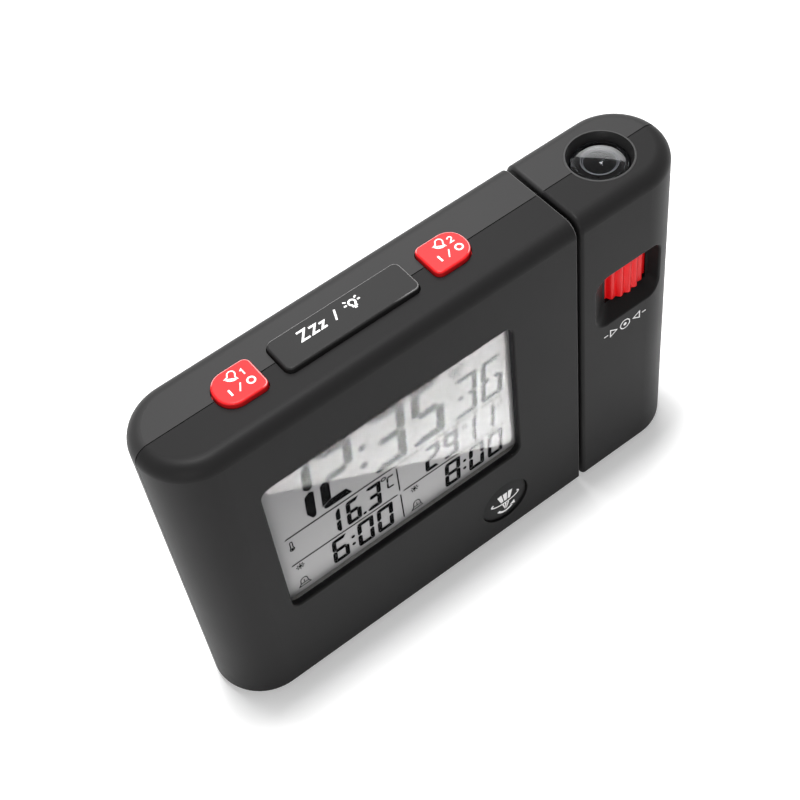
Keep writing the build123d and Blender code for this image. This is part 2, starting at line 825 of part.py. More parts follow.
with BuildPart() as antenna_coil:
    with BuildSketch(Plane.YZ.offset(antenna_left + (antenna_length - coil_length) / 2)):
        with Locations((antenna_y, base_z + antenna_height)):
            Circle(antenna_radius + coil_thickness)
            Circle(antenna_radius + seat_clearance, mode=Mode.SUBTRACT)
    extrude(amount=coil_length)
antenna_coil.part.label = "antenna_coil"
export_step(antenna_coil.part, "parts/antenna_coil.step")

# Buzzer behind the sound holes, with its leads to the main board
buzzer_front = inner_depth - buzzer_height
with BuildPart() as buzzer:
    with BuildSketch(facing_front(inner_depth)):
        with Locations((buzzer_x, buzzer_z)):
            Circle(buzzer_radius)
    extrude(amount=buzzer_height)
    with BuildSketch(facing_front(inner_depth)):
        with Locations((buzzer_x, buzzer_z)):
            Circle(sound_ring_radius + 2 * sound_hole_radius)
    extrude(amount=buzzer_mouth_depth, mode=Mode.SUBTRACT)
buzzer.part.label = "buzzer"
export_step(buzzer.part, "parts/buzzer.step")

with BuildPart() as buzzer_leads:
    with BuildSketch(facing_front(buzzer_front)):
        with Locations((buzzer_x - buzzer_lead_side, buzzer_z + buzzer_lead_rise)):
            with GridLocations(1, lead_pitch, 1, 2):
                Circle(lead_radius)
    extrude(amount=buzzer_front - board_back)
buzzer_leads.part.label = "buzzer_leads"
export_step(buzzer_leads.part, "parts/buzzer_leads.step")

# Battery bay: cells laid head to tail between contact plates and springs
bay_left = body_mid - bay_length / 2
bay_right = body_mid + bay_length / 2
cell_body = cell_length - nub_length
with BuildPart() as battery_cells:
    for side in (-1, 1):
        nub_tip = body_mid + side * (bay_length / 2 - contact_thickness - cell_clearance)
        with BuildSketch(Plane.YZ.offset(nub_tip)):
            with Locations((cell_y, bay_z + side * cell_rise)):
                Circle(nub_radius)
        extrude(amount=-side * nub_length)
        with BuildSketch(Plane.YZ.offset(nub_tip - side * nub_length)):
            with Locations((cell_y, bay_z + side * cell_rise)):
                Circle(cell_radius)
        extrude(amount=-side * cell_body)
battery_cells.part.label = "battery_cells"
export_step(battery_cells.part, "parts/battery_cells.step")

with BuildPart() as battery_contacts:
    for plate_x in (bay_left + contact_thickness / 2, bay_right - contact_thickness / 2):
        with Locations((plate_x, cell_y, bay_z)):
            Box(contact_thickness, contact_width, bay_height - 2 * cell_clearance)
battery_contacts.part.label = "battery_contacts"
export_step(battery_contacts.part, "parts/battery_contacts.step")

with BuildPart() as battery_springs:
    for side in (-1, 1):
        with BuildSketch(Plane.YZ.offset(body_mid + side * (bay_length / 2 - contact_thickness))):
            with Locations((cell_y, bay_z - side * cell_rise)):
                Circle(spring_radius)
                Circle(spring_bore_radius, mode=Mode.SUBTRACT)
        extrude(amount=-side * spring_length)
battery_springs.part.label = "battery_springs"
export_step(battery_springs.part, "parts/battery_springs.step")

bay_front = bay_floor - compartment_wall
with BuildPart() as battery_leads:
    lead_z = bay_z + bay_height / 2 + compartment_wall - lead_radius - seat_clearance
    with BuildSketch(facing_front(bay_front)):
        with Locations((body_mid, lead_z)):
            with GridLocations(lead_pitch, 1, 2, 1):
                Circle(lead_radius)
    extrude(amount=bay_front - board_back)
battery_leads.part.label = "battery_leads"
export_step(battery_leads.part, "parts/battery_leads.step")

with BuildPart() as battery_door:
    with BuildSketch(facing_front(half_depth)):
        with Locations((body_mid, bay_z)):
            Rectangle(door_width, door_height)
    extrude(amount=wall)
    for x in tab_xs:
        with Locations((x, (inner_depth + tab_back - door_tab_thickness) / 2, door_base + door_tab_root / 2)):
            Box(door_tab_width, inner_depth - tab_back + door_tab_thickness, door_tab_root)
        with Locations((x, tab_back - door_tab_thickness / 2, door_base - door_tab_length / 2)):
            Box(door_tab_width, door_tab_thickness, door_tab_length)
battery_door.part.label = "battery_door"
export_step(battery_door.part, "parts/battery_door.step")

with BuildPart() as casing_screws:
    for x, z in body_posts:
        add(screw_solid(x, z, screw_seat, screw_seat + screw_bite, screw_radius,
                        screw_head_radius, screw_head_height))
casing_screws.part.label = "casing_screws"
export_step(casing_screws.part, "parts/casing_screws.step")

# Swivel: a hollow hub with a flange in the body and one in the head
body_flange_x = seam_x - wall - washer_thickness - 2 * running_clearance
head_flange_x = head_left + wall + seat_clearance
hub_left = body_flange_x - hub_flange_thickness
hub_right = head_flange_x + hub_flange_thickness
hub_flange_radius = hub_radius + hub_flange_width
with BuildPart() as swivel_hub:
    with BuildSketch(Plane.YZ.offset(hub_left)):
        with Locations((0, swivel_z)):
            Circle(hub_flange_radius)
    extrude(amount=hub_flange_thickness)
    with BuildSketch(Plane.YZ.offset(head_flange_x)):
        with Locations((0, swivel_z)):
            Circle(hub_flange_radius)
    extrude(amount=hub_flange_thickness)
    with BuildSketch(Plane.YZ.offset(hub_left)):
        with Locations((0, swivel_z)):
            Circle(hub_radius)
    extrude(amount=hub_right - hub_left)
    with BuildSketch(Plane.YZ.offset(hub_left)):
        with Locations((0, swivel_z)):
            Circle(hub_bore_radius)
    extrude(amount=hub_right - hub_left, mode=Mode.SUBTRACT)
swivel_hub.part.label = "swivel_hub"
export_step(swivel_hub.part, "parts/swivel_hub.step")

with BuildPart() as spring_washer:
    with BuildSketch(Plane.YZ.offset(body_flange_x + running_clearance / 2)):
        with Locations((0, swivel_z)):
            Circle(hub_flange_radius)
            Circle(hub_radius + running_clearance, mode=Mode.SUBTRACT)
    extrude(amount=washer_thickness)
spring_washer.part.label = "spring_washer"
export_step(spring_washer.part, "parts/spring_washer.step")

board_right = body_mid + holder_width / 2
with BuildPart() as cable_socket:
    socket_depth = socket_overhang - board_back
    with Locations((board_right - socket_length / 2, socket_overhang - socket_depth / 2, swivel_z)):
        Box(socket_length, socket_depth, socket_height)
cable_socket.part.label = "cable_socket"
export_step(cable_socket.part, "parts/cable_socket.step")

cable_x = lens_x - head_board_width / 2 + 2 * cable_radius
cable_start = board_right + moving_clearance
with BuildPart() as head_cable:
    with BuildLine(Plane.XZ):
        FilletPolyline((cable_start, swivel_z), (cable_x, swivel_z), (cable_x, head_board_top),
                       radius=cable_bend)
    with BuildSketch(Plane.YZ.offset(cable_start)):
        with Locations((0, swivel_z)):
            Circle(cable_radius)
    sweep()
head_cable.part.label = "head_cable"
export_step(head_cable.part, "parts/head_cable.step")

# Head shells
head_hollow = hollow_casing(head_left, right_tip, head_edge_round)
head_wall_plan = plan_face(head_left + wall / 2, right_tip - wall / 2, half_depth - wall / 2)
with BuildPart() as head_shell:
    add(head_hollow)
    for x, z in head_posts:
        add(wall_post(x, z, head_post_radius, head_wall_plan))
    with BuildSketch(Plane.XY.offset(top_z)):
        with Locations((lens_x, 0)):
            Circle(lens_ring_radius + seat_clearance)
    extrude(amount=-wall, mode=Mode.SUBTRACT)
    with BuildSketch(Plane.YZ.offset(head_left)):
        with Locations((0, swivel_z)):
            Circle(hub_radius + seat_clearance)
    extrude(amount=wall, mode=Mode.SUBTRACT)
    for z, thickness, hole in ((head_board_z - shelf_thickness, shelf_thickness, 0),
                               (base_z + collar_lift, collar_thickness, tube_radius + seat_clearance)):
        shelf_room = head_board_depth / 2 - shelf_lap
        with BuildSketch(Plane.XY.offset(z)):
            with Locations((lens_x, 0)):
                Rectangle(collar_width, 2 * inner_depth)
                if hole:
                    Circle(hole, mode=Mode.SUBTRACT)
                else:
                    Rectangle(collar_width, 2 * shelf_room, mode=Mode.SUBTRACT)
        extrude(amount=thickness)

with BuildPart() as head_front_shell:
    add(head_shell.part)
    split(bisect_by=Plane.XZ, keep=Keep.TOP)
    with BuildSketch(Plane.XY.offset(mouth_base - recess_wall)):
        add(head_wall_plan)
        with Locations((mouth_x, (recess_floor + recess_wall - half_depth) / 2)):
            Rectangle(mouth_width + 2 * recess_wall, half_depth + recess_floor + recess_wall,
                      mode=Mode.INTERSECT)
    extrude(amount=mouth_height + 2 * recess_wall)
    with BuildSketch(Plane.XZ):
        with Locations(*head_posts):
            Circle(small_screw_radius)
    extrude(amount=small_screw_bite, mode=Mode.SUBTRACT)
    with BuildSketch(facing_front(recess_floor)):
        with Locations((lens_x, recess_z)):
            RectangleRounded(recess_width, recess_height, recess_corner)
    with BuildSketch(facing_front(-half_depth)):
        with Locations((mouth_x, mouth_base + mouth_height / 2)):
            RectangleRounded(mouth_width, mouth_height, recess_mouth_corner)
    loft(mode=Mode.SUBTRACT)
    mouth_edges = head_front_shell.edges().filter_by_position(Axis.Y, -half_depth, -half_depth)
    mouth_edges = mouth_edges.filter_by_position(Axis.Z, mouth_base, mouth_base + mouth_height)
    mouth_edges = mouth_edges.filter_by_position(Axis.X, mouth_x - mouth_width / 2, mouth_x)
    fillet(mouth_edges, recess_edge_round)
    with BuildSketch(Plane.XY.offset(mouth_base - recess_wall)):
        with Locations((lens_x, 0)):
            Circle(tube_radius + tube_wall + moving_clearance)
    extrude(amount=mouth_height + 2 * recess_wall, mode=Mode.SUBTRACT)
    with BuildSketch(Plane.XY.offset(wheel_base - wheel_end_gap / 2)):
        with Locations((lens_x, 0)):
            Circle(wheel_radius + moving_clearance)
    extrude(amount=wheel_height + wheel_end_gap, mode=Mode.SUBTRACT)
head_front_shell.part.label = "head_front_shell"
export_step(head_front_shell.part, "parts/head_front_shell.step")

with BuildPart() as head_rear_shell:
    add(head_shell.part)
    split(bisect_by=Plane.XZ, keep=Keep.BOTTOM)
    with BuildSketch(facing_front(half_depth)):
        with Locations(*head_posts):
            Circle(small_sink_radius)
    extrude(amount=screw_sink, mode=Mode.SUBTRACT)
    with BuildSketch(facing_front(half_depth)):
        with Locations(*head_posts):
            Circle(small_screw_radius + seat_clearance)
    extrude(amount=half_depth, mode=Mode.SUBTRACT)
head_rear_shell.part.label = "head_rear_shell"
export_step(head_rear_shell.part, "parts/head_rear_shell.step")

with BuildPart() as head_screws:
    for x, z in head_posts:
        add(screw_solid(x, z, screw_seat, screw_seat + small_screw_bite, small_screw_radius,
                        small_screw_head_radius, small_screw_head_height))
head_screws.part.label = "head_screws"
export_step(head_screws.part, "parts/head_screws.step")


def lens_profile(points):
    """Turned piece about the lens axis from half-profile points of radius and height."""
    with BuildPart() as turned:
        with BuildSketch(Plane.XZ):
            with BuildLine():
                Polyline(*[(lens_x + r, z) for r, z in points], close=True)
            make_face()
        revolve(axis=Axis((lens_x, 0, 0), (0, 0, 1)))
    return turned.part


# Lens ring: a funnel let into the head's top, with a lip under the wall
ring_lip_top = ceiling_z - seat_clearance
ring_base = ring_lip_top - lens_ring_lip_height
funnel_base_radius = barrel_radius + moving_clearance
funnel_base = top_z - funnel_depth
with BuildPart() as lens_ring:
    add(lens_profile([(funnel_top_radius, top_z), (lens_ring_radius, top_z),
                      (lens_ring_radius, ring_lip_top), (lens_ring_radius + lens_ring_lip, ring_lip_top),
                      (lens_ring_radius + lens_ring_lip, ring_base), (funnel_base_radius, ring_base),
                      (funnel_base_radius, funnel_base)]))
lens_ring.part.label = "lens_ring"
export_step(lens_ring.part, "parts/lens_ring.step")

# Projector column: board, light source, tube, condenser and image display
with BuildPart() as projector_board:
    with Locations((lens_x, 0, head_board_z + board_thickness / 2)):
        Box(head_board_width, head_board_depth, board_thickness)
projector_board.part.label = "projector_board"
export_step(projector_board.part, "parts/projector_board.step")

with BuildPart() as projector_led:
    with BuildSketch(Plane.XY.offset(head_board_top)):
        with Locations((lens_x, 0)):
            Circle(led_radius)
    extrude(amount=led_height)
    fillet(projector_led.faces().sort_by(Axis.Z)[-1].edges(), led_round)
    with BuildSketch(Plane.XY.offset(head_board_top)):
        with Locations((lens_x, 0)):
            Circle(led_rim_radius)
    extrude(amount=led_rim_height)
projector_led.part.label = "projector_led"
export_step(projector_led.part, "parts/projector_led.step")

condenser_seat = head_board_top + condenser_lift
image_seat = head_board_top + image_lift
condenser_bore = condenser_radius + seat_clearance
slot_width = 2 * (pin_radius + running_clearance)
slot_height = 2 * (pin_radius + focus_travel + moving_clearance)
with BuildPart() as projector_tube:
    add(lens_profile([(condenser_bore, head_board_top), (tube_radius, head_board_top),
                      (tube_radius, tube_top), (tube_bore, tube_top), (tube_bore, image_seat),
                      (image_aperture_radius, image_seat), (image_aperture_radius, condenser_seat),
                      (condenser_bore, condenser_seat)]))
    carrier_top = wheel_base - running_clearance
    with BuildSketch(Plane.XY.offset(carrier_top - wheel_carrier_thickness)):
        with Locations((lens_x, 0)):
            Circle(tube_radius + tube_wall)
            Circle(tube_bore, mode=Mode.SUBTRACT)
    extrude(amount=wheel_carrier_thickness)
    with BuildSketch(Plane.XZ):
        with Locations((lens_x, pin_z)):
            Rectangle(slot_width, slot_height)
    extrude(amount=-tube_radius, mode=Mode.SUBTRACT)
projector_tube.part.label = "projector_tube"
export_step(projector_tube.part, "parts/projector_tube.step")

with BuildPart() as condenser_lens:
    with BuildSketch(Plane.XY.offset(condenser_seat - condenser_thickness)):
        with Locations((lens_x, 0)):
            Circle(condenser_radius)
    extrude(amount=condenser_thickness)
    fillet(condenser_lens.faces().sort_by(Axis.Z)[0].edges(), condenser_round)
condenser_lens.part.label = "condenser_lens"
export_step(condenser_lens.part, "parts/condenser_lens.step")

with BuildPart() as image_lcd:
    with BuildSketch(Plane.XY.offset(image_seat)):
        with Locations((lens_x, 0)):
            Circle(tube_bore - seat_clearance)
    extrude(amount=image_thickness)
image_lcd.part.label = "image_lcd"
export_step(image_lcd.part, "parts/image_lcd.step")

# Focus wheel: a ribbed ring on the tube with a groove that takes the barrel's pin
groove_radius = barrel_radius + pin_reach + moving_clearance
ridge_points = []
for i in range(2 * wheel_rib_count):
    ridge_turn = math.pi * i / wheel_rib_count
    ridge_reach = wheel_radius - wheel_rib_depth * (i % 2)
    ridge_points.append((lens_x + ridge_reach * math.cos(ridge_turn), ridge_reach * math.sin(ridge_turn)))
with BuildPart() as focus_wheel:
    with BuildSketch(Plane.XY.offset(wheel_base)):
        with BuildLine():
            Polyline(*ridge_points, close=True)
        make_face()
        with Locations((lens_x, 0)):
            Circle(wheel_bore, mode=Mode.SUBTRACT)
    extrude(amount=wheel_height)
    with BuildSketch(Plane.XY.offset(pin_z - slot_height / 2)):
        with Locations((lens_x, 0)):
            Circle(groove_radius)
    extrude(amount=slot_height, mode=Mode.SUBTRACT)
focus_wheel.part.label = "focus_wheel"
export_step(focus_wheel.part, "parts/focus_wheel.step")

# Lens barrel with its pin, and the two lenses that it carries
lens_seat = barrel_top - lens_sink - lens_edge
lens_bore = lens_radius + seat_clearance
rear_lens_seat = barrel_base + rear_lens_thickness
rear_lens_bore = rear_lens_radius + seat_clearance
with BuildPart() as lens_barrel:
    add(lens_profile([(barrel_radius, barrel_base), (barrel_radius, barrel_top),
                      (lens_bore, barrel_top), (lens_bore, lens_seat),
                      (image_aperture_radius, lens_seat), (image_aperture_radius, rear_lens_seat),
                      (rear_lens_bore, rear_lens_seat), (rear_lens_bore, barrel_base)]))
    with BuildSketch(Plane.XZ.offset(-lens_radius)):
        with Locations((lens_x, pin_z)):
            Circle(pin_radius)
    extrude(amount=-(barrel_radius - lens_radius + pin_reach))
lens_barrel.part.label = "lens_barrel"
export_step(lens_barrel.part, "parts/lens_barrel.step")

with BuildPart() as projection_lens:
    with BuildSketch(Plane.XZ):
        with BuildLine():
            dome_z = lens_seat + lens_edge
            dome_ball = (lens_radius ** 2 + lens_dome ** 2) / (2 * lens_dome)
            RadiusArc((lens_x, dome_z + lens_dome), (lens_x + lens_radius, dome_z), dome_ball)
            Polyline((lens_x + lens_radius, dome_z), (lens_x + lens_radius, lens_seat),
                     (lens_x, lens_seat), (lens_x, dome_z + lens_dome))
        make_face()
    revolve(axis=Axis((lens_x, 0, 0), (0, 0, 1)))
projection_lens.part.label = "projection_lens"
export_step(projection_lens.part, "parts/projection_lens.step")

with BuildPart() as rear_lens:
    with BuildSketch(Plane.XY.offset(barrel_base)):
        with Locations((lens_x, 0)):
            Circle(rear_lens_radius)
    extrude(amount=rear_lens_thickness)
    fillet(rear_lens.faces().sort_by(Axis.Z)[0].edges(), rear_lens_round)
rear_lens.part.label = "rear_lens"
export_step(rear_lens.part, "parts/rear_lens.step")
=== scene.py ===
import json
import math

import bpy
import numpy as np
from mathutils import Euler, Matrix, Vector

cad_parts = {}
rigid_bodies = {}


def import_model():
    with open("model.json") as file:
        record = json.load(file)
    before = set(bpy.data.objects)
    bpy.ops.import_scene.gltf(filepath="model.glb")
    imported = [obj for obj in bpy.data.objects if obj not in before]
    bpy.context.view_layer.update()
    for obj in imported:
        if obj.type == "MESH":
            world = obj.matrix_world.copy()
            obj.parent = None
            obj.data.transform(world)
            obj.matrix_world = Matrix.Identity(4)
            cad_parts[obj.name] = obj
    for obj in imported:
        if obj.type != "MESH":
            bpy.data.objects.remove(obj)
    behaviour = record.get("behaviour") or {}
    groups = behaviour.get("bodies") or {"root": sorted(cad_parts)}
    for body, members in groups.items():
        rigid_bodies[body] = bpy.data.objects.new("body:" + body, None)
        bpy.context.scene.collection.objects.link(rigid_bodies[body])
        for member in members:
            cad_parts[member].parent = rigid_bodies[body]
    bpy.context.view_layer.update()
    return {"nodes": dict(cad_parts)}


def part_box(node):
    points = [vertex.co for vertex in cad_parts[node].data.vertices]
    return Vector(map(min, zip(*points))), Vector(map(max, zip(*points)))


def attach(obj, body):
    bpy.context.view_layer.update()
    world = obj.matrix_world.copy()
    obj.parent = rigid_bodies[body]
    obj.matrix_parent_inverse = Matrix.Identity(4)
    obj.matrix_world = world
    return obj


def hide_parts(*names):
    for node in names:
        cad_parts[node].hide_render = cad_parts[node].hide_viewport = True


for leftover in list(bpy.data.objects):
    bpy.data.objects.remove(leftover)
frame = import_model()

bl_info = {
    "name": "Projection alarm clock",
    "version": (1, 0, 0),
    "blender": (4, 5, 0),
    "location": "View3D > Sidebar > Clock",
    "description": "Dresses the packed projection alarm clock and sets up its studio",
    "category": "Object",
}

MM = 0.001


def colour_property(name, description, default):
    """A colour that a user would change."""
    return bpy.props.FloatVectorProperty(name=name, description=description, default=default,
                                         subtype="COLOR", size=3, min=0.0, max=1.0)


def length_property(name, description, default):
    """A size in metres that a user would change."""
    return bpy.props.FloatProperty(name=name, description=description, default=default,
                                   subtype="DISTANCE", unit="LENGTH", precision=5)


def number_property(name, description, default):
    """A plain number that a user would change."""
    return bpy.props.FloatProperty(name=name, description=description, default=default, precision=3)


def power_property(name, description, default):
    """The power of a lamp."""
    return bpy.props.FloatProperty(name=name, description=description, default=default, unit="POWER")


def text_property(name, description, default):
    """Digits that the display shows."""
    return bpy.props.StringProperty(name=name, description=description, default=default)


class ClockFinish(bpy.types.PropertyGroup):
    front_black: colour_property("Front casing", "Plastic of the front shells", (0.0118, 0.0115, 0.0117))
    rear_black: colour_property("Rear casing", "Plastic of the rear shells", (0.0165, 0.0161, 0.0163))
    bar_black: colour_property("Snooze bar", "Plastic of the black buttons", (0.0145, 0.0142, 0.0143))
    button_black: colour_property("Projection button", "Plastic of the round button",
                                  (0.0065, 0.0064, 0.0065))
    alarm_red: colour_property("Alarm buttons", "Plastic of the two alarm buttons", (0.70, 0.012, 0.015))
    wheel_red: colour_property("Focus wheel", "Plastic of the focus wheel", (0.80, 0.006, 0.009))
    legend_white: colour_property("Legends", "Ink of the printed signs", (0.86, 0.85, 0.85))
    display_grey: colour_property("Display", "Reflector behind the display's segments", (0.53, 0.526, 0.528))
    # Painted shade: the display film's grey is painted darker towards its top
    film_top_shade: number_property("Film top shade", "Share of the display's grey left at its top by painted shade", 0.52)
    display_ink: colour_property("Segments", "Segments that are switched on", (0.0025, 0.0025, 0.0028))
    ring_black: colour_property("Ring black", "Funnel round the lens", (0.017, 0.0168, 0.017))
    # Painted highlights: these colours and widths paint a lighter line along the lit edges of the casing and
    # the top buttons
    edge_highlight: colour_property("Edge highlight", "Painted highlight along edges of the black pieces", (0.19, 0.188, 0.188))
    red_edge_highlight: colour_property("Red edge highlight", "Painted highlight along the edge of the alarm buttons", (0.90, 0.36, 0.36))
    cap_highlight_width: length_property("Cap highlight width", "Height of the painted edge highlight on the top buttons", 0.22 * MM)
    seam_highlight_width: length_property("Highlight width", "Width of the painted edge highlight beside the projector head", 0.24 * MM)
    satin: number_property("Satin", "Roughness of the moulded casing", 0.46)
    front_gloss: number_property("Front gloss", "Strength of the front shells' reflection", 0.088)
    bar_gloss: number_property("Button gloss", "Strength of the black buttons' reflection", 0.14)
    rear_gloss: number_property("Rear gloss", "Strength of the rear shells' reflection", 0.22)


class ClockDisplay(bpy.types.PropertyGroup):
    hours: text_property("Time", "Hours and minutes", "12:35")
    seconds: text_property("Seconds", "Running seconds", "36")
    warmth: text_property("Temperature", "Degrees in the room", "16.3")
    date: text_property("Date", "Day and month", "2911")
    first_alarm: text_property("Alarm 1", "First alarm time", "6:00")
    second_alarm: text_property("Alarm 2", "Second alarm time", "8:00")
    slant: number_property("Slant", "Sideways lean of the digits per unit of height", 0.06)
    ink_depth: length_property("Segment depth", "Thickness of a segment", 0.05 * MM)
    film_gap: length_property("Film gap", "Depth of the reflector behind the segments", 0.06 * MM)


class ClockLegend(bpy.types.PropertyGroup):
    ink: length_property("Ink", "Thickness of the printed signs", 0.015 * MM)
    thin_line: length_property("Thin line", "Stroke of the small signs", 0.30 * MM)
    bold_line: length_property("Bold line", "Stroke of the large signs", 0.46 * MM)


class ClockStudio(bpy.types.PropertyGroup):
    camera_place: bpy.props.FloatVectorProperty(
        name="Camera", description="Where the camera stands", subtype="TRANSLATION", unit="LENGTH",
        size=3, precision=5, default=(-0.11616, -0.18986, 0.34770))
    camera_turn: bpy.props.FloatVectorProperty(
        name="Camera turn", description="How the camera is turned", subtype="EULER", size=3, precision=5,
        default=(math.radians(36.6092), math.radians(6.0947), math.radians(-36.7768)))
    lens: number_property("Lens", "Focal length on a 36 mm sensor", 70.75)
    shift_across: number_property("Shift across", "Sideways shift of the view", 0.0231)
    shift_up: number_property("Shift up", "Upward shift of the view", 0.0142)
    floor_white: colour_property("Floor", "Colour of the floor", (0.86, 0.86, 0.86))
    floor_lift: number_property("Floor lift", "White that the camera adds to the floor", 0.30)
    room: number_property("Room light", "Strength of the even light", 0.28)
    key_power: power_property("Overhead lamp", "Power of the small lamp above the clock", 15.0)
    top_power: power_property("Top softbox", "Power of the softbox that the clock's top mirrors", 3.7)
    side_power: power_property("Side strip", "Power of the strip on the left", 0.08)
    front_power: power_property("Front fill", "Power of the front softbox", 2.0)
    window_sheen: power_property("Window sheen", "Power of the reflector in the display window", 14.8)
    lens_sheen: power_property("Lens sheen", "Power of the reflector in the lens", 11.0)
    lens_glint: power_property("Lens glint", "Power of the small lamp in the lens", 0.9)


# Shapes in millimetres: outlines and strokes drawn on a sheet (across, up), then given a thickness


def circle(across, up, radius, count=24):
    """Points of a circle: the centre plus the radius times the cosine and sine of an even turn."""
    turn = np.linspace(0.0, 2 * math.pi, count, endpoint=False)
    return np.stack([across + radius * np.cos(turn), up + radius * np.sin(turn)], 1)


def arc(across, up, radius, start, end, count=14):
    """Points of an arc from one angle to another, in degrees anticlockwise from the right."""
    turn = np.radians(np.linspace(start, end, count))
    return np.stack([across + radius * np.cos(turn), up + radius * np.sin(turn)], 1)


def unit(vectors):
    """Each row divided by its length."""
    shortest = 1e-12
    return vectors / np.maximum(np.linalg.norm(vectors, axis=1, keepdims=True), shortest)


def plate(outline, depth):
    """A flat outline, anticlockwise, carried straight out by its depth: two faces and a wall between."""
    outline = np.asarray(outline, float)
    count = len(outline)
    height = np.repeat([0.0, depth], count)[:, None]
    points = np.hstack([np.tile(outline, (2, 1)), height])
    here = np.arange(count)
    after = np.roll(here, -1)
    wall = np.stack([here, after, after + count, here + count], 1)
    faces = [here[::-1].tolist(), (here + count).tolist()] + wall.tolist()
    return points, faces


def grid_faces(rows, columns, closed_rows, closed_columns=True):
    """Faces of a grid of points counted row by row: each takes a point, the one a row on, the one a row and
    a column on and the one a column on, round to the first where the grid is closed."""
    row = np.arange(rows if closed_rows else rows - 1)[:, None]
    column = np.arange(columns if closed_columns else columns - 1)[None, :]
    ahead, beside = (row + 1) % rows, (column + 1) % columns
    return np.stack([row * columns + column, ahead * columns + column, ahead * columns + beside,
                     row * columns + beside], -1).reshape(-1, 4).tolist()


def stroke(path, width, depth, closed):
    """A rectangle carried along a path: at each point the sides lie half a width out along the mitre,
    the mean normal of the two neighbouring runs divided by the cosine of half their bend. The width is
    one number or one for each point."""
    sharpest = 0.4
    count = len(path)
    run = unit(np.roll(path, -1, 0) - path)
    before = np.roll(run, 1, 0)
    if not closed:
        run[-1] = before[-1]
        before[0] = run[0]
    mean = unit(run + before)
    stretch = 1.0 / np.maximum(np.sum(mean * run, axis=1, keepdims=True), sharpest)
    side = np.stack([-mean[:, 1], mean[:, 0]], 1) * stretch * np.reshape(width, (-1, 1)) / 2
    level = np.zeros((count, 1))
    corners = np.stack([np.hstack([path + side, level]), np.hstack([path - side, level]),
                        np.hstack([path - side, level + depth]), np.hstack([path + side, level + depth])], 1)
    faces = grid_faces(count, 4, closed)
    if not closed:
        faces += [[0, 1, 2, 3], [4 * count - 1, 4 * count - 2, 4 * count - 3, 4 * count - 4]]
    return corners.reshape(-1, 3), faces


def moved(shape, across, up, lean=0.0, turn=0.0):
    """The same points leant sideways by lean times their height, turned anticlockwise and moved."""
    points = np.stack([shape[:, 0] + lean * shape[:, 1], shape[:, 1]], 1)
    cosine, sine = math.cos(turn), math.sin(turn)
    return points @ np.array([[cosine, sine], [-sine, cosine]]) + (across, up)


def joined(pieces):
    """Several pieces as one: all their points, and their faces counted on from piece to piece."""
    starts = np.cumsum([0] + [len(points) for points, faces in pieces])
    faces = [[start + corner for corner in side]
             for start, (points, sides) in zip(starts, pieces) for side in sides]
    return np.vstack([points for points, faces in pieces]), faces


# The ways across and up on a sheet that faces up, forward or back
TOP = ((1, 0, 0), (0, 1, 0))
FRONT = ((1, 0, 0), (0, 0, 1))
BACK = ((-1, 0, 0), (0, 0, 1))


def on_sheet(pieces, origin, facing, bulge=None):
    """Puts drawn pieces on a surface: origin plus across, up and outward steps, with outward their
    cross product; bulge gives the surface's own drop below the sheet at each point."""
    across, up = Vector(facing[0]), Vector(facing[1])
    axes = np.array([across, up, across.cross(up)])
    points, faces = joined(pieces)
    if bulge is not None:
        points[:, 2] -= bulge(points[:, 0], points[:, 1])
    return points @ axes + np.array(origin), faces


def turned(section, centre, count=96, cut=0.0, capped=False):
    """A section of reach and level carried round an upright axis: each point lies its reach from the axis
    at each turn, less what is cut there, at its own level. The section closes on itself, or ends in two
    small flat caps on the axis."""
    section = np.asarray(section)
    columns = len(section)
    turn = np.linspace(0.0, 2 * math.pi, count, endpoint=False)[:, None]
    reach = np.broadcast_to(section[None, :, 0] - cut, (count, columns))
    points = np.stack([centre[0] + reach * np.cos(turn), centre[1] + reach * np.sin(turn),
                       np.broadcast_to(section[:, 1], reach.shape)], -1).reshape(-1, 3)
    faces = grid_faces(count, columns, True, not capped)
    if capped:
        rim = np.arange(count) * columns
        faces += [rim[::-1].tolist(), (rim + columns - 1).tolist()]
    return points, faces


def make_piece(name, shape, material, body, stands_for=(), smooth_angle=None):
    """A mesh object at the origin, from points in millimetres and faces, that rides on a body."""
    points, faces = shape
    mesh = bpy.data.meshes.new(name)
    mesh.from_pydata((points * MM).tolist(), [], [list(face) for face in faces])
    mesh.validate()
    mesh.materials.append(material)
    if smooth_angle is not None:
        mesh.shade_smooth()
        mesh.set_sharp_from_angle(angle=math.radians(smooth_angle))
    piece = bpy.data.objects.new(name, mesh)
    bpy.context.scene.collection.objects.link(piece)
    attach(piece, body)
    if stands_for:
        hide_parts(*stands_for)


def paint(nodes, material):
    """Gives CAD nodes a material."""
    for node in nodes:
        for place in frame["nodes"][node].material_slots:
            place.material = material


def box_mm(node):
    """Lowest and highest corner of a CAD node and the point midway, as arrays in millimetres."""
    low, high = (np.array(corner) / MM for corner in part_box(node))
    return low, high, (low + high) / 2


# Signs of the clock's own design, as strokes of a path, a width and whether the path closes


def line(path, width):
    """An open stroke."""
    return np.asarray(path, float), width, False


def loop(path, width):
    """A closed stroke."""
    return np.asarray(path, float), width, True


def draw(strokes, depth, across=0.0, up=0.0, lean=0.0, turn=0.0):
    """Strokes moved to their place and given their depth."""
    return [stroke(moved(path, across, up, lean, turn), width, depth, closed)
            for path, width, closed in strokes]


def rays(up, near, far, angles):
    """Short lines that point away from a middle at that height."""
    return [np.vstack([arc(0.0, up, reach, angle, angle, 1) for reach in (near, far)]) for angle in angles]


def bell_sign(width):
    """A bell: a half circle on straight sides that flare to the rim, with the rim's shallow arc below."""
    size = 2.6
    body = np.vstack([[(-0.50, 0.10), (-0.32, 0.30)], arc(0, 0.58, 0.32, 180, 0),
                      [(0.32, 0.30), (0.50, 0.10)]])
    mouth = arc(0, 0.62, 0.72, 226, 314, 12)
    return [loop(body * size, width), line(mouth * size, width)]


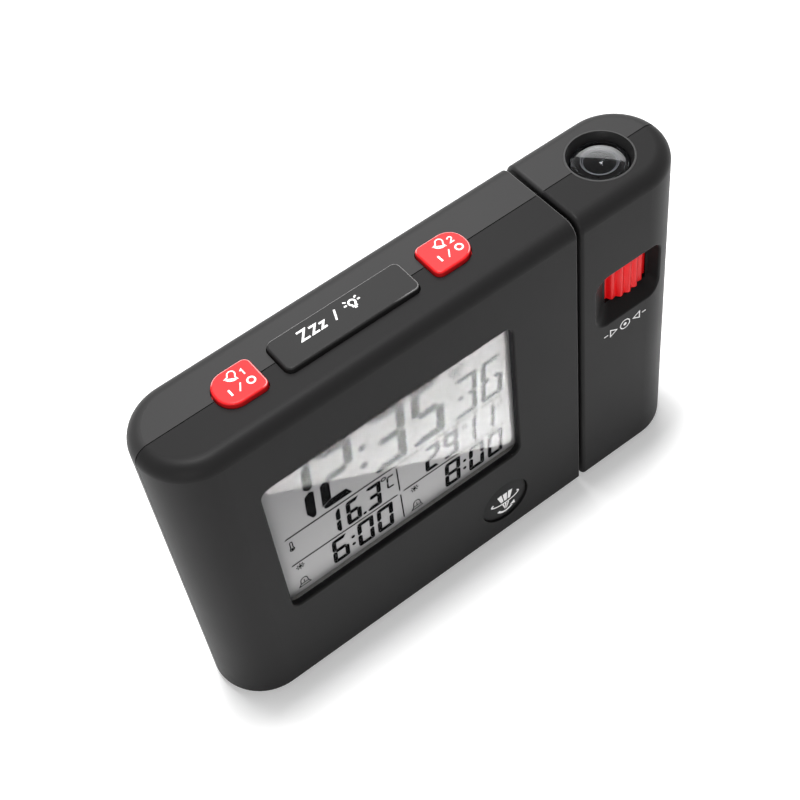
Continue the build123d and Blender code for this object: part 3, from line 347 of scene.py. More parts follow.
def display_bell_sign():
    """A bell on a foot band: a half circle on sloping sides, and a flat band with a clapper line."""
    dome = np.vstack([[(-1.05, 1.0), (-0.95, 2.0)], arc(0.0, 2.1, 0.95, 175, 5, 12),
                      [(0.95, 2.0), (1.05, 1.0)]])
    band = [(-1.6, 0.1), (1.6, 0.1), (1.05, 1.0), (-1.05, 1.0)]
    return [loop(dome, FINE_LINE), loop(band, FINE_LINE), line([(0.0, 1.2), (0.0, 2.2)], FINE_LINE)]


# Display layout in millimetres from its own middle, which lies a little off the window's. A row has its
# left edge, its baseline, the width and height of a digit, the width of a segment, the step from digit to
# digit and the room of a colon.
LAYOUT_PLACE = (0.23, -0.63)
TIME_ROW = (-30.8, 0.4, 9.3, 20.15, 2.5, 11.0, 3.5)
SECONDS_ROW = (17.95, 0.15, 6.35, 14.05, 1.45, 7.55, 2.0)
WARMTH_ROW = (-20.4, -11.1, 4.1, 8.8, 1.2, 5.75, 1.6)
DATE_ROW = (8.0, -11.3, 4.35, 8.9, 1.22, 5.5, 1.6)
FIRST_ALARM_ROW = (-20.3, -22.1, 4.65, 9.0, 1.18, 5.7, 1.6)
SECOND_ALARM_ROW = (12.9, -22.4, 4.6, 9.0, 1.18, 5.75, 1.55)
DISPLAY_RULES = [[(-30.6, -1.0), (31.8, -1.1)], [(-30.7, -11.95), (-0.5, -12.2)],
                 [(1.4, -12.2), (32.1, -12.4)], [(0.42, -2.2), (0.35, -11.1)], [(0.35, -13.0), (0.3, -22.4)]]
RULE_LINE = 0.34
FINE_LINE = 0.24
MAST_LINE = 0.46
UNIT_LINE = 0.48

DIGIT_SEGMENTS = {"0": "abcdef", "1": "bc", "2": "abged", "3": "abgcd", "4": "fgbc", "5": "afgcd",
                  "6": "afgedc", "7": "abc", "8": "abcdefg", "9": "abcdfg"}


def segment_outlines(width, height, bar, gap):
    """The seven segments of a digit as outlines. The level bars own the two left corners and the upright
    bars the two right ones; uprights come to a point at the middle and the middle bar at both ends."""
    half, right = height / 2, width - bar
    top = np.array([(0.10 * bar, height - 0.55 * bar), (bar, height - bar), (right - gap, height - bar),
                    (width - 0.40 * bar - gap, height), (0.60 * bar, height),
                    (0.25 * bar, height - 0.15 * bar)])
    middle = np.array([(0.55 * bar + gap, half), (bar, half - bar / 2), (right, half - bar / 2),
                       (width - 0.55 * bar - gap, half), (right, half + bar / 2), (bar, half + bar / 2)])
    left = np.array([(0.0, height - 0.55 * bar - gap), (0.0, half + 0.40 * bar), (0.45 * bar, half + gap),
                     (bar, half + bar / 2 + gap), (bar, height - bar - gap)])
    far = np.array([(right, height - bar), (right, half + bar / 2 + gap), (width - 0.45 * bar, half + gap),
                    (width, half + 0.40 * bar), (width, height - 0.45 * bar),
                    (width - 0.12 * bar, height - 0.12 * bar), (width - 0.40 * bar, height)])
    lower = np.array([1.0, -1.0])
    return {"a": top, "b": far, "f": left, "g": middle, "c": (far * lower + (0, height))[::-1],
            "d": (top * lower + (0, height))[::-1], "e": (left * lower + (0, height))[::-1]}


def digits(text, row, lean, depth, split_middle=False):
    """A row of digits: each takes its outlines from the seven segments, leans and steps on by the pitch;
    a colon is two discs in a room of its own and a point is one disc by the baseline."""
    left, base, width, height, bar, pitch, colon_room = row
    gap, dot, colon_rises = 0.09 * bar, 0.42 * bar, (0.31, 0.63)
    point, point_up = 0.40 * bar, 0.45 * bar
    outlines = segment_outlines(width, height, bar, gap)
    halves = [outlines["g"]]
    if split_middle:
        short, bevel, inset = width / 2 - 0.9 * bar, 0.35 * bar, 0.55 * bar
        dash = np.array([(0.0, 0.0), (bevel, -bar / 2), (short - bevel, -bar / 2), (short, 0.0),
                         (short - bevel, bar / 2), (bevel, bar / 2)])
        halves = [dash + (inset, height / 2), dash + (width - inset - short, height / 2)]
    drawn = []
    for sign in text:
        middle = left - (pitch - width) / 2
        shapes = []
        if sign == ":":
            shapes = [circle(middle + colon_room / 2, rise * height, dot, 20) for rise in colon_rises]
            left += colon_room
        elif sign == ".":
            shapes = [circle(middle, point_up, point, 16)]
        else:
            for name in DIGIT_SEGMENTS[sign]:
                shapes += [shape + (left, 0.0) for shape in (halves if name == "g" else [outlines[name]])]
            left += pitch
        drawn += [plate(moved(shape, 0.0, base, lean), depth) for shape in shapes]
    return drawn


# Shader nodes, and the node groups that several finishes share


def feed(tree, node, feeds):
    """Feeds a node's inputs, each from a socket or with a value."""
    for socket, source in feeds.items():
        if isinstance(source, bpy.types.NodeSocket):
            tree.links.new(source, node.inputs[socket])
        else:
            node.inputs[socket].default_value = source


def add_node(tree, kind, feeds=None, **settings):
    """A node of that kind with its settings made and its inputs fed."""
    made = tree.nodes.new(kind)
    for name, value in settings.items():
        setattr(made, name, value)
    feed(tree, made, feeds or {})
    return made


def arithmetic(tree, operation, first, second):
    """One step of arithmetic on two sockets or numbers."""
    return add_node(tree, "ShaderNodeMath", {0: first, 1: second}, operation=operation).outputs[0]


def vector_step(tree, operation, first, second):
    """One step of arithmetic on two vectors."""
    return add_node(tree, "ShaderNodeVectorMath", {0: first, 1: second}, operation=operation)


def scaled(tree, colour, share):
    """A colour times a share."""
    return add_node(tree, "ShaderNodeVectorMath", {0: colour, "Scale": share}, operation="SCALE").outputs[0]


def spread_about(tree, texture, centre, reach):
    """A texture of nought to one moved about a centre by half its reach either way."""
    swing = arithmetic(tree, "MULTIPLY", arithmetic(tree, "SUBTRACT", texture, 0.5), reach)
    return arithmetic(tree, "ADD", swing, centre)


def clamped(tree, value):
    """A value kept between nought and one."""
    return add_node(tree, "ShaderNodeClamp", {"Value": value}).outputs["Result"]


def mixed(tree, share, first, second):
    """A mix of two colours."""
    mix = add_node(tree, "ShaderNodeMix", {"Factor": share, "A": first, "B": second}, data_type="RGBA")
    return mix.outputs["Result"]


def noise(tree, place, scale, detail=2.0):
    """Clouds of nought to one."""
    feeds = {"Vector": place, "Scale": scale, "Detail": detail}
    return add_node(tree, "ShaderNodeTexNoise", feeds).outputs["Fac"]


def object_place(tree):
    """The Object coordinates."""
    return add_node(tree, "ShaderNodeTexCoord").outputs["Object"]


def opaque(colour):
    """A colour with full alpha."""
    return (colour[0], colour[1], colour[2], 1.0)


SURFACE = [("Colour", "Color"), ("Roughness", "Float"), ("Height", "Float")]
POLISH = 0.10
GRAIN_DEPTH, DRAWN_DEPTH, BAND_DEPTH = 0.04 * MM, 0.02 * MM, 0.05 * MM
DRAWN_BUMP = 0.15


def node_group(name, inputs, outputs):
    """An empty group with named sockets: what it is given, and the exit to feed."""
    group = bpy.data.node_groups.new(name, "ShaderNodeTree")
    for way, sockets in (("INPUT", inputs), ("OUTPUT", outputs)):
        for socket, kind in sockets:
            group.interface.new_socket(socket, in_out=way, socket_type="NodeSocket" + kind)
    return group, group.nodes.new("NodeGroupInput").outputs, group.nodes.new("NodeGroupOutput")


def moulded_group():
    """Moulded plastic: a fine grain for the height, and slow clouds that shift tone and gloss."""
    cloud_scale = 38.0
    group, given, made = node_group("moulded surface", [
        ("Place", "Vector"), ("Colour", "Color"), ("Grain", "Float"), ("Mottle", "Float"),
        ("Roughness", "Float"), ("Polish", "Float")], SURFACE)
    grain = noise(group, given["Place"], given["Grain"], 3.0)
    cloud = noise(group, given["Place"], cloud_scale, 4.0)
    both = arithmetic(group, "ADD", cloud, arithmetic(group, "SUBTRACT", grain, 0.5))
    tone = spread_about(group, both, 1.0, given["Mottle"])
    feed(group, made, {"Colour": scaled(group, given["Colour"], tone),
                       "Roughness": spread_about(group, cloud, given["Roughness"], given["Polish"]),
                       "Height": grain})
    return group


def drawn_metal_group():
    """Rolled or drawn metal: noise pulled out along X gives fine lines, clouds give dull patches."""
    pull, cloud_scale, dullest, patch, streak = (300.0, 6000.0, 6000.0), 180.0, 0.8, 0.35, 0.25
    group, given, made = node_group("drawn metal", [
        ("Place", "Vector"), ("Colour", "Color"), ("Roughness", "Float")], SURFACE)
    lines = noise(group, vector_step(group, "MULTIPLY", given["Place"], pull).outputs[0], 1.0)
    cloud = arithmetic(group, "MULTIPLY", noise(group, given["Place"], cloud_scale), patch)
    feed(group, made, {"Colour": scaled(group, given["Colour"], arithmetic(group, "ADD", cloud, dullest)),
                       "Roughness": spread_about(group, lines, given["Roughness"], streak), "Height": lines})
    return group


def ruled_group():
    """Turns, traces or ribs: even bands along one stretched axis, dark in the gaps and raised between."""
    fine_scale, waver, streak = 900.0, 0.4, 0.2
    group, given, made = node_group("ruled surface", [
        ("Place", "Vector"), ("Stretch", "Vector"), ("Colour", "Color"), ("Gap colour", "Color"),
        ("Roughness", "Float")], SURFACE)
    pulled = vector_step(group, "MULTIPLY", given["Place"], given["Stretch"]).outputs[0]
    bands = add_node(group, "ShaderNodeTexWave", {"Vector": pulled, "Scale": 1.0, "Distortion": waver},
                     wave_type="BANDS", bands_direction="DIAGONAL").outputs["Fac"]
    fine = noise(group, given["Place"], fine_scale)
    feed(group, made, {"Colour": mixed(group, bands, given["Gap colour"], given["Colour"]),
                       "Roughness": spread_about(group, fine, given["Roughness"], streak), "Height": bands})
    return group


def painted_edge_highlight_group():
    """Painted edge highlight: the colour turns to the highlight colour over the last stretch before an edge
    that lies across the way, more in some spots than in others. The face beyond the stretch keeps the colour,
    and the painted highlight fades out on the side of the middle that the slope leads down to."""
    spot_scale, bare_share, fade = 240.0, 0.08, 4.0
    group, given, made = node_group("painted edge highlight", [
        ("Place", "Vector"), ("Colour", "Color"), ("Highlight colour", "Color"), ("Way", "Vector"),
        ("Edge", "Float"), ("Width", "Float"), ("Middle", "Vector"), ("Slope", "Vector")],
        [("Colour", "Color")])
    along = vector_step(group, "DOT_PRODUCT", given["Place"], given["Way"]).outputs["Value"]
    near = arithmetic(group, "DIVIDE", arithmetic(group, "SUBTRACT", given["Edge"], along), given["Width"])
    share = arithmetic(group, "MULTIPLY", arithmetic(group, "SUBTRACT", 1.0, near),
                       arithmetic(group, "GREATER_THAN", near, bare_share))
    offset = vector_step(group, "SUBTRACT", given["Place"], given["Middle"]).outputs[0]
    side = vector_step(group, "DOT_PRODUCT", offset, given["Slope"]).outputs["Value"]
    shown = clamped(group, arithmetic(group, "ADD", arithmetic(group, "MULTIPLY", side, fade), 1.0))
    spots = arithmetic(group, "ADD", noise(group, given["Place"], spot_scale), 1.0)
    highlight_share = arithmetic(group, "MULTIPLY", arithmetic(group, "MULTIPLY", share, shown), spots)
    feed(group, made, {"Colour": mixed(group, clamped(group, highlight_share), given["Colour"], given["Highlight colour"])})
    return group


SHARED_GROUPS = {}


def shared_group(tree, maker, feeds):
    """A node of a shared group, which is built once, on Object coordinates."""
    if maker.__name__ not in SHARED_GROUPS:
        SHARED_GROUPS[maker.__name__] = maker()
    feeds = {"Place": object_place(tree), **feeds}
    return add_node(tree, "ShaderNodeGroup", feeds, node_tree=SHARED_GROUPS[maker.__name__]).outputs


def bare_material(name):
    """A material with one Principled shader."""
    material = bpy.data.materials.new(name)
    material.use_nodes = True
    tree = material.node_tree
    tree.nodes.clear()
    shader = add_node(tree, "ShaderNodeBsdfPrincipled")
    add_node(tree, "ShaderNodeOutputMaterial", {"Surface": shader.outputs["BSDF"]})
    return material, tree, shader


def surfaced(name, maker, values, bump, bump_depth, **shader_values):
    """A material whose colour, roughness and bump come from a shared group."""
    material, tree, shader = bare_material(name)
    group = shared_group(tree, maker, values)
    relief = add_node(tree, "ShaderNodeBump", {"Strength": bump, "Distance": bump_depth,
                                               "Height": group["Height"]})
    feed(tree, shader, {"Base Color": group["Colour"], "Roughness": group["Roughness"],
                        "Normal": relief.outputs["Normal"]})
    feed(tree, shader, {socket.replace("_", " "): value for socket, value in shader_values.items()})
    return material


def plastic(name, colour, roughness, grain=5200.0, mottle=0.16, bump=0.35, **shader_values):
    """Moulded plastic in one colour."""
    values = {"Colour": opaque(colour), "Grain": grain, "Mottle": mottle, "Roughness": roughness,
              "Polish": POLISH}
    return surfaced(name, moulded_group, values, bump, GRAIN_DEPTH, **shader_values)


def metal(name, colour, roughness):
    """Drawn or rolled metal in one colour."""
    values = {"Colour": opaque(colour), "Roughness": roughness}
    return surfaced(name, drawn_metal_group, values, DRAWN_BUMP, DRAWN_DEPTH, Metallic=1.0)


def ruled(name, colour, gap_colour, stretch, roughness, bump=0.5, **shader_values):
    """A banded surface, such as wire turns or the traces of a board."""
    values = {"Colour": opaque(colour), "Gap colour": opaque(gap_colour), "Stretch": stretch,
              "Roughness": roughness}
    return surfaced(name, ruled_group, values, bump, BAND_DEPTH, **shader_values)


def clear(name, tint, haze, ior):
    """Clear plastic or glass that lets the light through to what lies behind it, with wiped haze."""
    wipe_scale = 60.0
    material, tree, shader = bare_material(name)
    roughness = arithmetic(tree, "MULTIPLY", noise(tree, object_place(tree), wipe_scale), haze)
    feed(tree, shader, {"Base Color": opaque(tint), "Transmission Weight": 1.0, "IOR": ior,
                        "Roughness": roughness})
    path = add_node(tree, "ShaderNodeLightPath").outputs
    passing = arithmetic(tree, "MAXIMUM", path["Is Shadow Ray"], path["Is Diffuse Ray"])
    through = add_node(tree, "ShaderNodeBsdfTransparent", {"Color": opaque(tint)})
    mix = add_node(tree, "ShaderNodeMixShader", {"Fac": passing, 1: shader.outputs["BSDF"],
                                                 2: through.outputs["BSDF"]})
    made = next(node for node in tree.nodes if node.type == "OUTPUT_MATERIAL")
    feed(tree, made, {"Surface": mix.outputs["Shader"]})
    return material


def paint_edge_highlight(material, way, edge, colour, width, middle=(0.0, 0.0, 0.0), slope=(0.0, 0.0, 0.0)):
    """Lays a painted edge highlight over a material's colour."""
    tree = material.node_tree
    shader = next(node for node in tree.nodes if node.type == "BSDF_PRINCIPLED")
    plain = shader.inputs["Base Color"].links[0].from_socket
    painted_highlight = shared_group(tree, painted_edge_highlight_group, {"Colour": plain, "Highlight colour": opaque(colour), "Way": way,
                                              "Edge": edge, "Width": width, "Middle": middle, "Slope": slope})
    feed(tree, shader, {"Base Color": painted_highlight["Colour"]})


def pens(context):
    """The strokes of the small and the large signs and the depth of the ink, in millimetres."""
    legend = context.scene.clock_legend
    return legend.thin_line / MM, legend.bold_line / MM, legend.ink / MM


def print_sign(context, name, drawn, origin, facing, body, bulge=None):
    """White print on a surface; the ink is made once."""
    ink = bpy.data.materials.get("legend ink") or plastic(
        "legend ink", context.scene.clock_finish.legend_white, 0.55, grain=9000.0, mottle=0.10, bump=0.15)
    make_piece(name, on_sheet(drawn, origin, facing, bulge), ink, body)


class CLOCK_OT_casing(bpy.types.Operator):
    """Finish the casing shells, battery door, feet and casing screws"""
    bl_idname = "clock.casing"
    bl_label = "Casing"

    def execute(self, context):
        finish = context.scene.clock_finish
        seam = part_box("front_casing")[1][0]
        for side, colour, satin, gloss, body, head in (
                ("front", finish.front_black, finish.satin, finish.front_gloss, ["front_casing"],
                 ["head_front_shell"]),
                ("rear", finish.rear_black, finish.satin + 0.02, finish.rear_gloss, ["rear_casing"],
                 ["head_rear_shell", "battery_door"])):
            paint(head, plastic("satin " + side + " shell", colour, satin, Specular_IOR_Level=gloss))
            casing = plastic("satin " + side + " casing", colour, satin, Specular_IOR_Level=gloss)
            # Painted highlight: a thin lighter line along the casing's edge at the seam beside the projector
            # head
            paint_edge_highlight(casing, (1.0, 0.0, 0.0), seam, finish.edge_highlight, finish.seam_highlight_width)
            paint(body, casing)
        paint(["feet"], plastic("foot rubber", (0.014, 0.014, 0.015), 0.8, grain=2600.0, bump=0.6))
        paint(["casing_screws", "head_screws"], metal("plated screws", (0.50, 0.50, 0.49), 0.34))
        return {"FINISHED"}


class CLOCK_OT_top_buttons(bpy.types.Operator):
    """Finish the alarm buttons and the snooze bar and print their signs"""
    bl_idname = "clock.top_buttons"
    bl_label = "Top buttons"

    def execute(self, context):
        finish = context.scene.clock_finish
        thin, bold, depth = pens(context)
        one = [line([(-0.45, 1.25), (0.0, 1.6), (0.0, 0.0)], thin)]
        two = [line(np.vstack([arc(0.0, 1.12, 0.48, 170, -20, 10), [(-0.5, 0.0), (0.52, 0.0)]]), thin)]
        switch = [line([(-2.9, -0.9), (-2.9, 0.9)], bold), line([(-1.1, -0.95), (0.1, 0.95)], thin),
                  loop(circle(2.2, 0.0, 0.82), bold * 0.9)]
        for name, numeral in (("alarm_button_1", one), ("alarm_button_2", two)):
            red = plastic(name + " red", finish.alarm_red, 0.36, mottle=0.05, bump=0.2,
                          Specular_IOR_Level=0.22)
            self.finish_cap(name, red, finish.red_edge_highlight, finish.cap_highlight_width)
            drawn = draw(bell_sign(thin), depth, -0.40, 1.40, turn=-0.55)
            drawn += draw(numeral, depth, 2.7, 0.85) + draw(switch, depth, 0.6, -1.30)
            print_sign(context, name + "_sign", drawn, self.top_of(name), TOP, name + "_body")
        black = plastic("snooze black", finish.bar_black, finish.satin - 0.04,
                        Specular_IOR_Level=finish.bar_gloss)
        self.finish_cap("snooze_bar", black, finish.edge_highlight, finish.cap_highlight_width)
        print_sign(context, "snooze_sign", self.snooze_sign(bold, depth), self.top_of("snooze_bar"), TOP,
                   "snooze_bar_body")
        return {"FINISHED"}

    def finish_cap(self, cap, material, painted_highlight, width):
        """Gives a button its plastic, with a painted highlight along the rear and right edges of its top: the
        slope rises from corner to corner, by one from the middle to a side."""
        low, high = (Vector(corner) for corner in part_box(cap))
        slope = (2.0 / (high.x - low.x), 2.0 / (high.y - low.y), 0.0)
        paint_edge_highlight(material, (0.0, 0.0, 1.0), high.z, painted_highlight, width, (low + high) / 2, slope)
        paint([cap], material)

    def top_of(self, name):
        """The middle of a button's top, on the clock's middle plane."""
        _, high, middle = box_mm(name)
        return middle[0], 0.0, high[2]

    def snooze_sign(self, bold, depth):
        """Three z shapes that grow smaller, a slash and a lamp with four rays."""
        bulb_up = 1.55
        zed = np.array([(0.0, 1.0), (0.8, 1.0), (0.0, 0.0), (0.8, 0.0)])
        drawn = []
        for across, size in ((-10.4, 2.5), (-7.6, 2.0), (-5.3, 1.55)):
            drawn += draw([line(zed * size, bold * 1.1)], depth, across, -0.05)
        drawn += draw([line([(-0.55, -0.2), (0.55, 2.5)], bold)], depth, -1.2)
        bulb = np.vstack([arc(0, bulb_up, 0.78, -55, 235, 22), [(-0.42, 0.42), (0.42, 0.42)]])
        lamp = [loop(bulb, bold), line([(-0.32, 0.0), (0.32, 0.0)], bold)]
        lamp += [line(ray, bold * 0.9) for ray in rays(bulb_up, 1.35, 2.05, (0, 180, 35, 145))]
        return drawn + draw(lamp, depth, 3.4)


class CLOCK_OT_front_button(bpy.types.Operator):
    """Finish the round projection button and print its sign on the dome"""
    bl_idname = "clock.front_button"
    bl_label = "Projection button"

    def execute(self, context):
        finish = context.scene.clock_finish
        paint(["projection_button"], plastic("button black", finish.button_black, finish.satin - 0.08,
                                             Specular_IOR_Level=finish.front_gloss))
        low, _, middle = box_mm("projection_button")
        _, bold, depth = pens(context)
        face_radius, dome, sides, steps = 6.9, 0.5, (-1, 0, 1), 9
        beams = [line(np.linspace((1.05 * side, 0.75), (1.75 * side, 3.55), steps),
                      np.linspace(0.8, 1.35, steps)) for side in sides]
        stripes = [line(np.linspace((0.25 * side, -2.9), (0.85 * side, -0.55), steps),
                        np.linspace(0.22, 0.5, steps)) for side in sides]
        ring = line(arc(0.0, 0.0, 1.0, 150, 390, 48) * (4.3, 1.15) + (0.0, 0.95), bold)
        swing = line(arc(0.0, -1.5, 2.6, 205, 318, 20), bold * 1.8)
        tip = line(np.linspace((2.15, -3.05), (2.75, -1.75), 7), np.linspace(1.9, 0.1, 7))
        drawn = draw(beams + stripes + [ring, swing, tip], depth, 0.0, -0.35)
        print_sign(context, "projection_sign", drawn, (middle[0], low[1], middle[2]), FRONT,
                   "projection_button_body",
                   bulge=lambda across, up: dome * (across ** 2 + up ** 2) / face_radius ** 2)
        return {"FINISHED"}


class CLOCK_OT_rear_buttons(bpy.types.Operator):
    """Finish the five setting buttons and print the signs on the back"""
    bl_idname = "clock.rear_buttons"
    bl_label = "Setting buttons"

    def execute(self, context):
        finish = context.scene.clock_finish
        thin, bold, depth = pens(context)
        chevron = np.array([(-1.0, -0.5), (0.0, 0.6), (1.0, -0.5)])
        bars = [line([(-1.1, up), (1.1, up)], bold) for up in (-0.9, 0.0, 0.9)]
        waves = [line(arc(0.0, 0.0, radius, 40, 140, 10), bold) for radius in (0.7, 1.4, 2.1)]
        signs = {"mode_button": draw(bars, depth),
                 "up_button": draw([line(chevron, bold)], depth),
                 "down_button": draw([line(chevron * (1, -1), bold)], depth),
                 "alarm_set_button": draw(bell_sign(thin), depth, 0.0, -1.2),
                 "wave_button": draw(waves, depth, 0.0, -0.9)}
        paint(signs, plastic("setting black", finish.bar_black, finish.satin - 0.06,
                             Specular_IOR_Level=finish.rear_gloss))
        for name, drawn in signs.items():
            _, high, middle = box_mm(name)
            print_sign(context, name + "_sign", drawn, (middle[0], high[1], middle[2]), BACK, name + "_body")
        arrow_drop = 7.5
        _, high, middle = box_mm("battery_door")
        arrow = [line([(-1.6, up + 1.6), (0.0, up), (1.6, up + 1.6)], bold) for up in (-0.7, 0.7)]
        print_sign(context, "door_arrow", draw(arrow, depth),
                   (middle[0], high[1], high[2] - arrow_drop), BACK, "battery_door_body")
        return {"FINISHED"}


class CLOCK_OT_display(bpy.types.Operator):
    """Build the display: reflector, segments, rules and signs behind the clear window"""
    bl_idname = "clock.display"
    bl_label = "Display"

    def execute(self, context):
        finish, display = context.scene.clock_finish, context.scene.clock_display
        paint(["lcd_window"], clear("display window", (0.98, 0.98, 0.98), haze=0.006, ior=1.06))
        centre = box_mm("lcd_window")[2]
        low, high, middle = box_mm("lcd_panel")
        depth, lean = display.ink_depth / MM, display.slant
        film_front = low[1] + depth + display.film_gap / MM
        half = high - middle
        outline = half[[0, 2]] * [(-1, -1), (1, -1), (1, 1), (-1, 1)]
        film = on_sheet([plate(outline, high[1] - film_front)], (centre[0], high[1], centre[2]), FRONT)
        make_piece("display_film", film, self.film(finish, low[2], high[2]), "clock_body",
                   ["lcd_panel"])
        drawn = []
        for shown, row in ((display.hours, TIME_ROW), (display.warmth, WARMTH_ROW), (display.date, DATE_ROW),
                           (display.first_alarm, FIRST_ALARM_ROW), (display.second_alarm, SECOND_ALARM_ROW)):
            drawn += digits(shown, row, lean, depth)
        drawn += digits(display.seconds, SECONDS_ROW, lean, depth, split_middle=True)
        drawn += draw([line(rule, RULE_LINE) for rule in DISPLAY_RULES], depth)
        drawn += self.small_signs(depth, lean)
        origin = (centre[0] + LAYOUT_PLACE[0], low[1] + depth, centre[2] + LAYOUT_PLACE[1])
        ink = plastic("segment ink", finish.display_ink, 0.5, grain=3000.0, mottle=0.1, bump=0.05,
                      Specular_IOR_Level=0.0)
        make_piece("display_segments", on_sheet(drawn, origin, FRONT), ink, "clock_body")
        return {"FINISHED"}

    def film(self, finish, base, top):
        """Matt reflector film: its grey deepens evenly from the base to the top as painted shade, with a fine
        grain.
        """
        material, tree, shader = bare_material("display film")
        surface = shared_group(tree, moulded_group, {
            "Colour": opaque(finish.display_grey), "Grain": 2600.0, "Mottle": 0.08, "Roughness": 0.5,
            "Polish": POLISH})
        height = add_node(tree, "ShaderNodeSeparateXYZ", {0: object_place(tree)}).outputs["Z"]
        # Painted shade: the grey is scaled from one at the film's base down to a share at its top
        rise = add_node(tree, "ShaderNodeMapRange", {
            "Value": height, "From Min": base * MM, "From Max": top * MM, "To Min": 1.0,
            "To Max": finish.film_top_shade})
        feed(tree, shader, {"Base Color": scaled(tree, surface["Colour"], rise.outputs["Result"]),
                            "Roughness": surface["Roughness"], "Specular IOR Level": 0.0})
        return material

    def small_signs(self, depth, lean):
        """Thermometer, degree sign, unit, day marks, bells, suns and radio mast of the display."""
        stem = np.vstack([arc(0.0, 0.55, 0.62, 122, 418, 20), arc(0.0, 3.1, 0.33, 0, 180, 8)])
        drawn = draw([loop(stem, FINE_LINE)], depth, -29.4, -6.2)
        drawn.append(plate(circle(-29.4, -5.65, 0.36), depth))
        drawn += draw([loop(circle(0.0, 0.0, 0.58), RULE_LINE)], depth, -3.4, -2.9)
        unit_sign = [[(0.1, 3.9), (1.65, 3.9)], [(0.0, 3.75), (0.0, 2.15)], [(0.0, 1.75), (0.0, 0.15)],
                     [(0.1, 0.0), (1.65, 0.0)]]
        drawn += draw([line(part, UNIT_LINE) for part in unit_sign], depth, -2.6, -7.3, lean)
        ticks = [line([(across, -0.9), (across, 0.9)], RULE_LINE) for across in (-0.45, 0.45)]
        for across in (20.3, 30.8):
            drawn += draw(ticks, depth, across, -3.9)
        sun = [line(ray, FINE_LINE) for ray in rays(0.0, 0.62, 1.15, range(0, 360, 45))]
        for across, base in ((-28.7, -21.9), (4.3, -22.3)):
            sun_up = base + 8.1
            drawn += draw(display_bell_sign(), depth, across, base)
            drawn.append(plate(circle(across, sun_up, 0.42, 16), depth))
            drawn += draw(sun, depth, across, sun_up)
        mast = [line([(-0.8, -2.3), (0.0, 0.3), (0.8, -2.3)], MAST_LINE)]
        mast += [line(arc(0.0, 0.4, radius, start, start + 110, 9), MAST_LINE)
                 for radius in (0.95, 1.85) for start in (-55, 125)]
        drawn += draw(mast, depth, 19.6, 17.7)
        drawn.append(plate(circle(19.6, 18.1, 0.4, 12), depth))
        return drawn


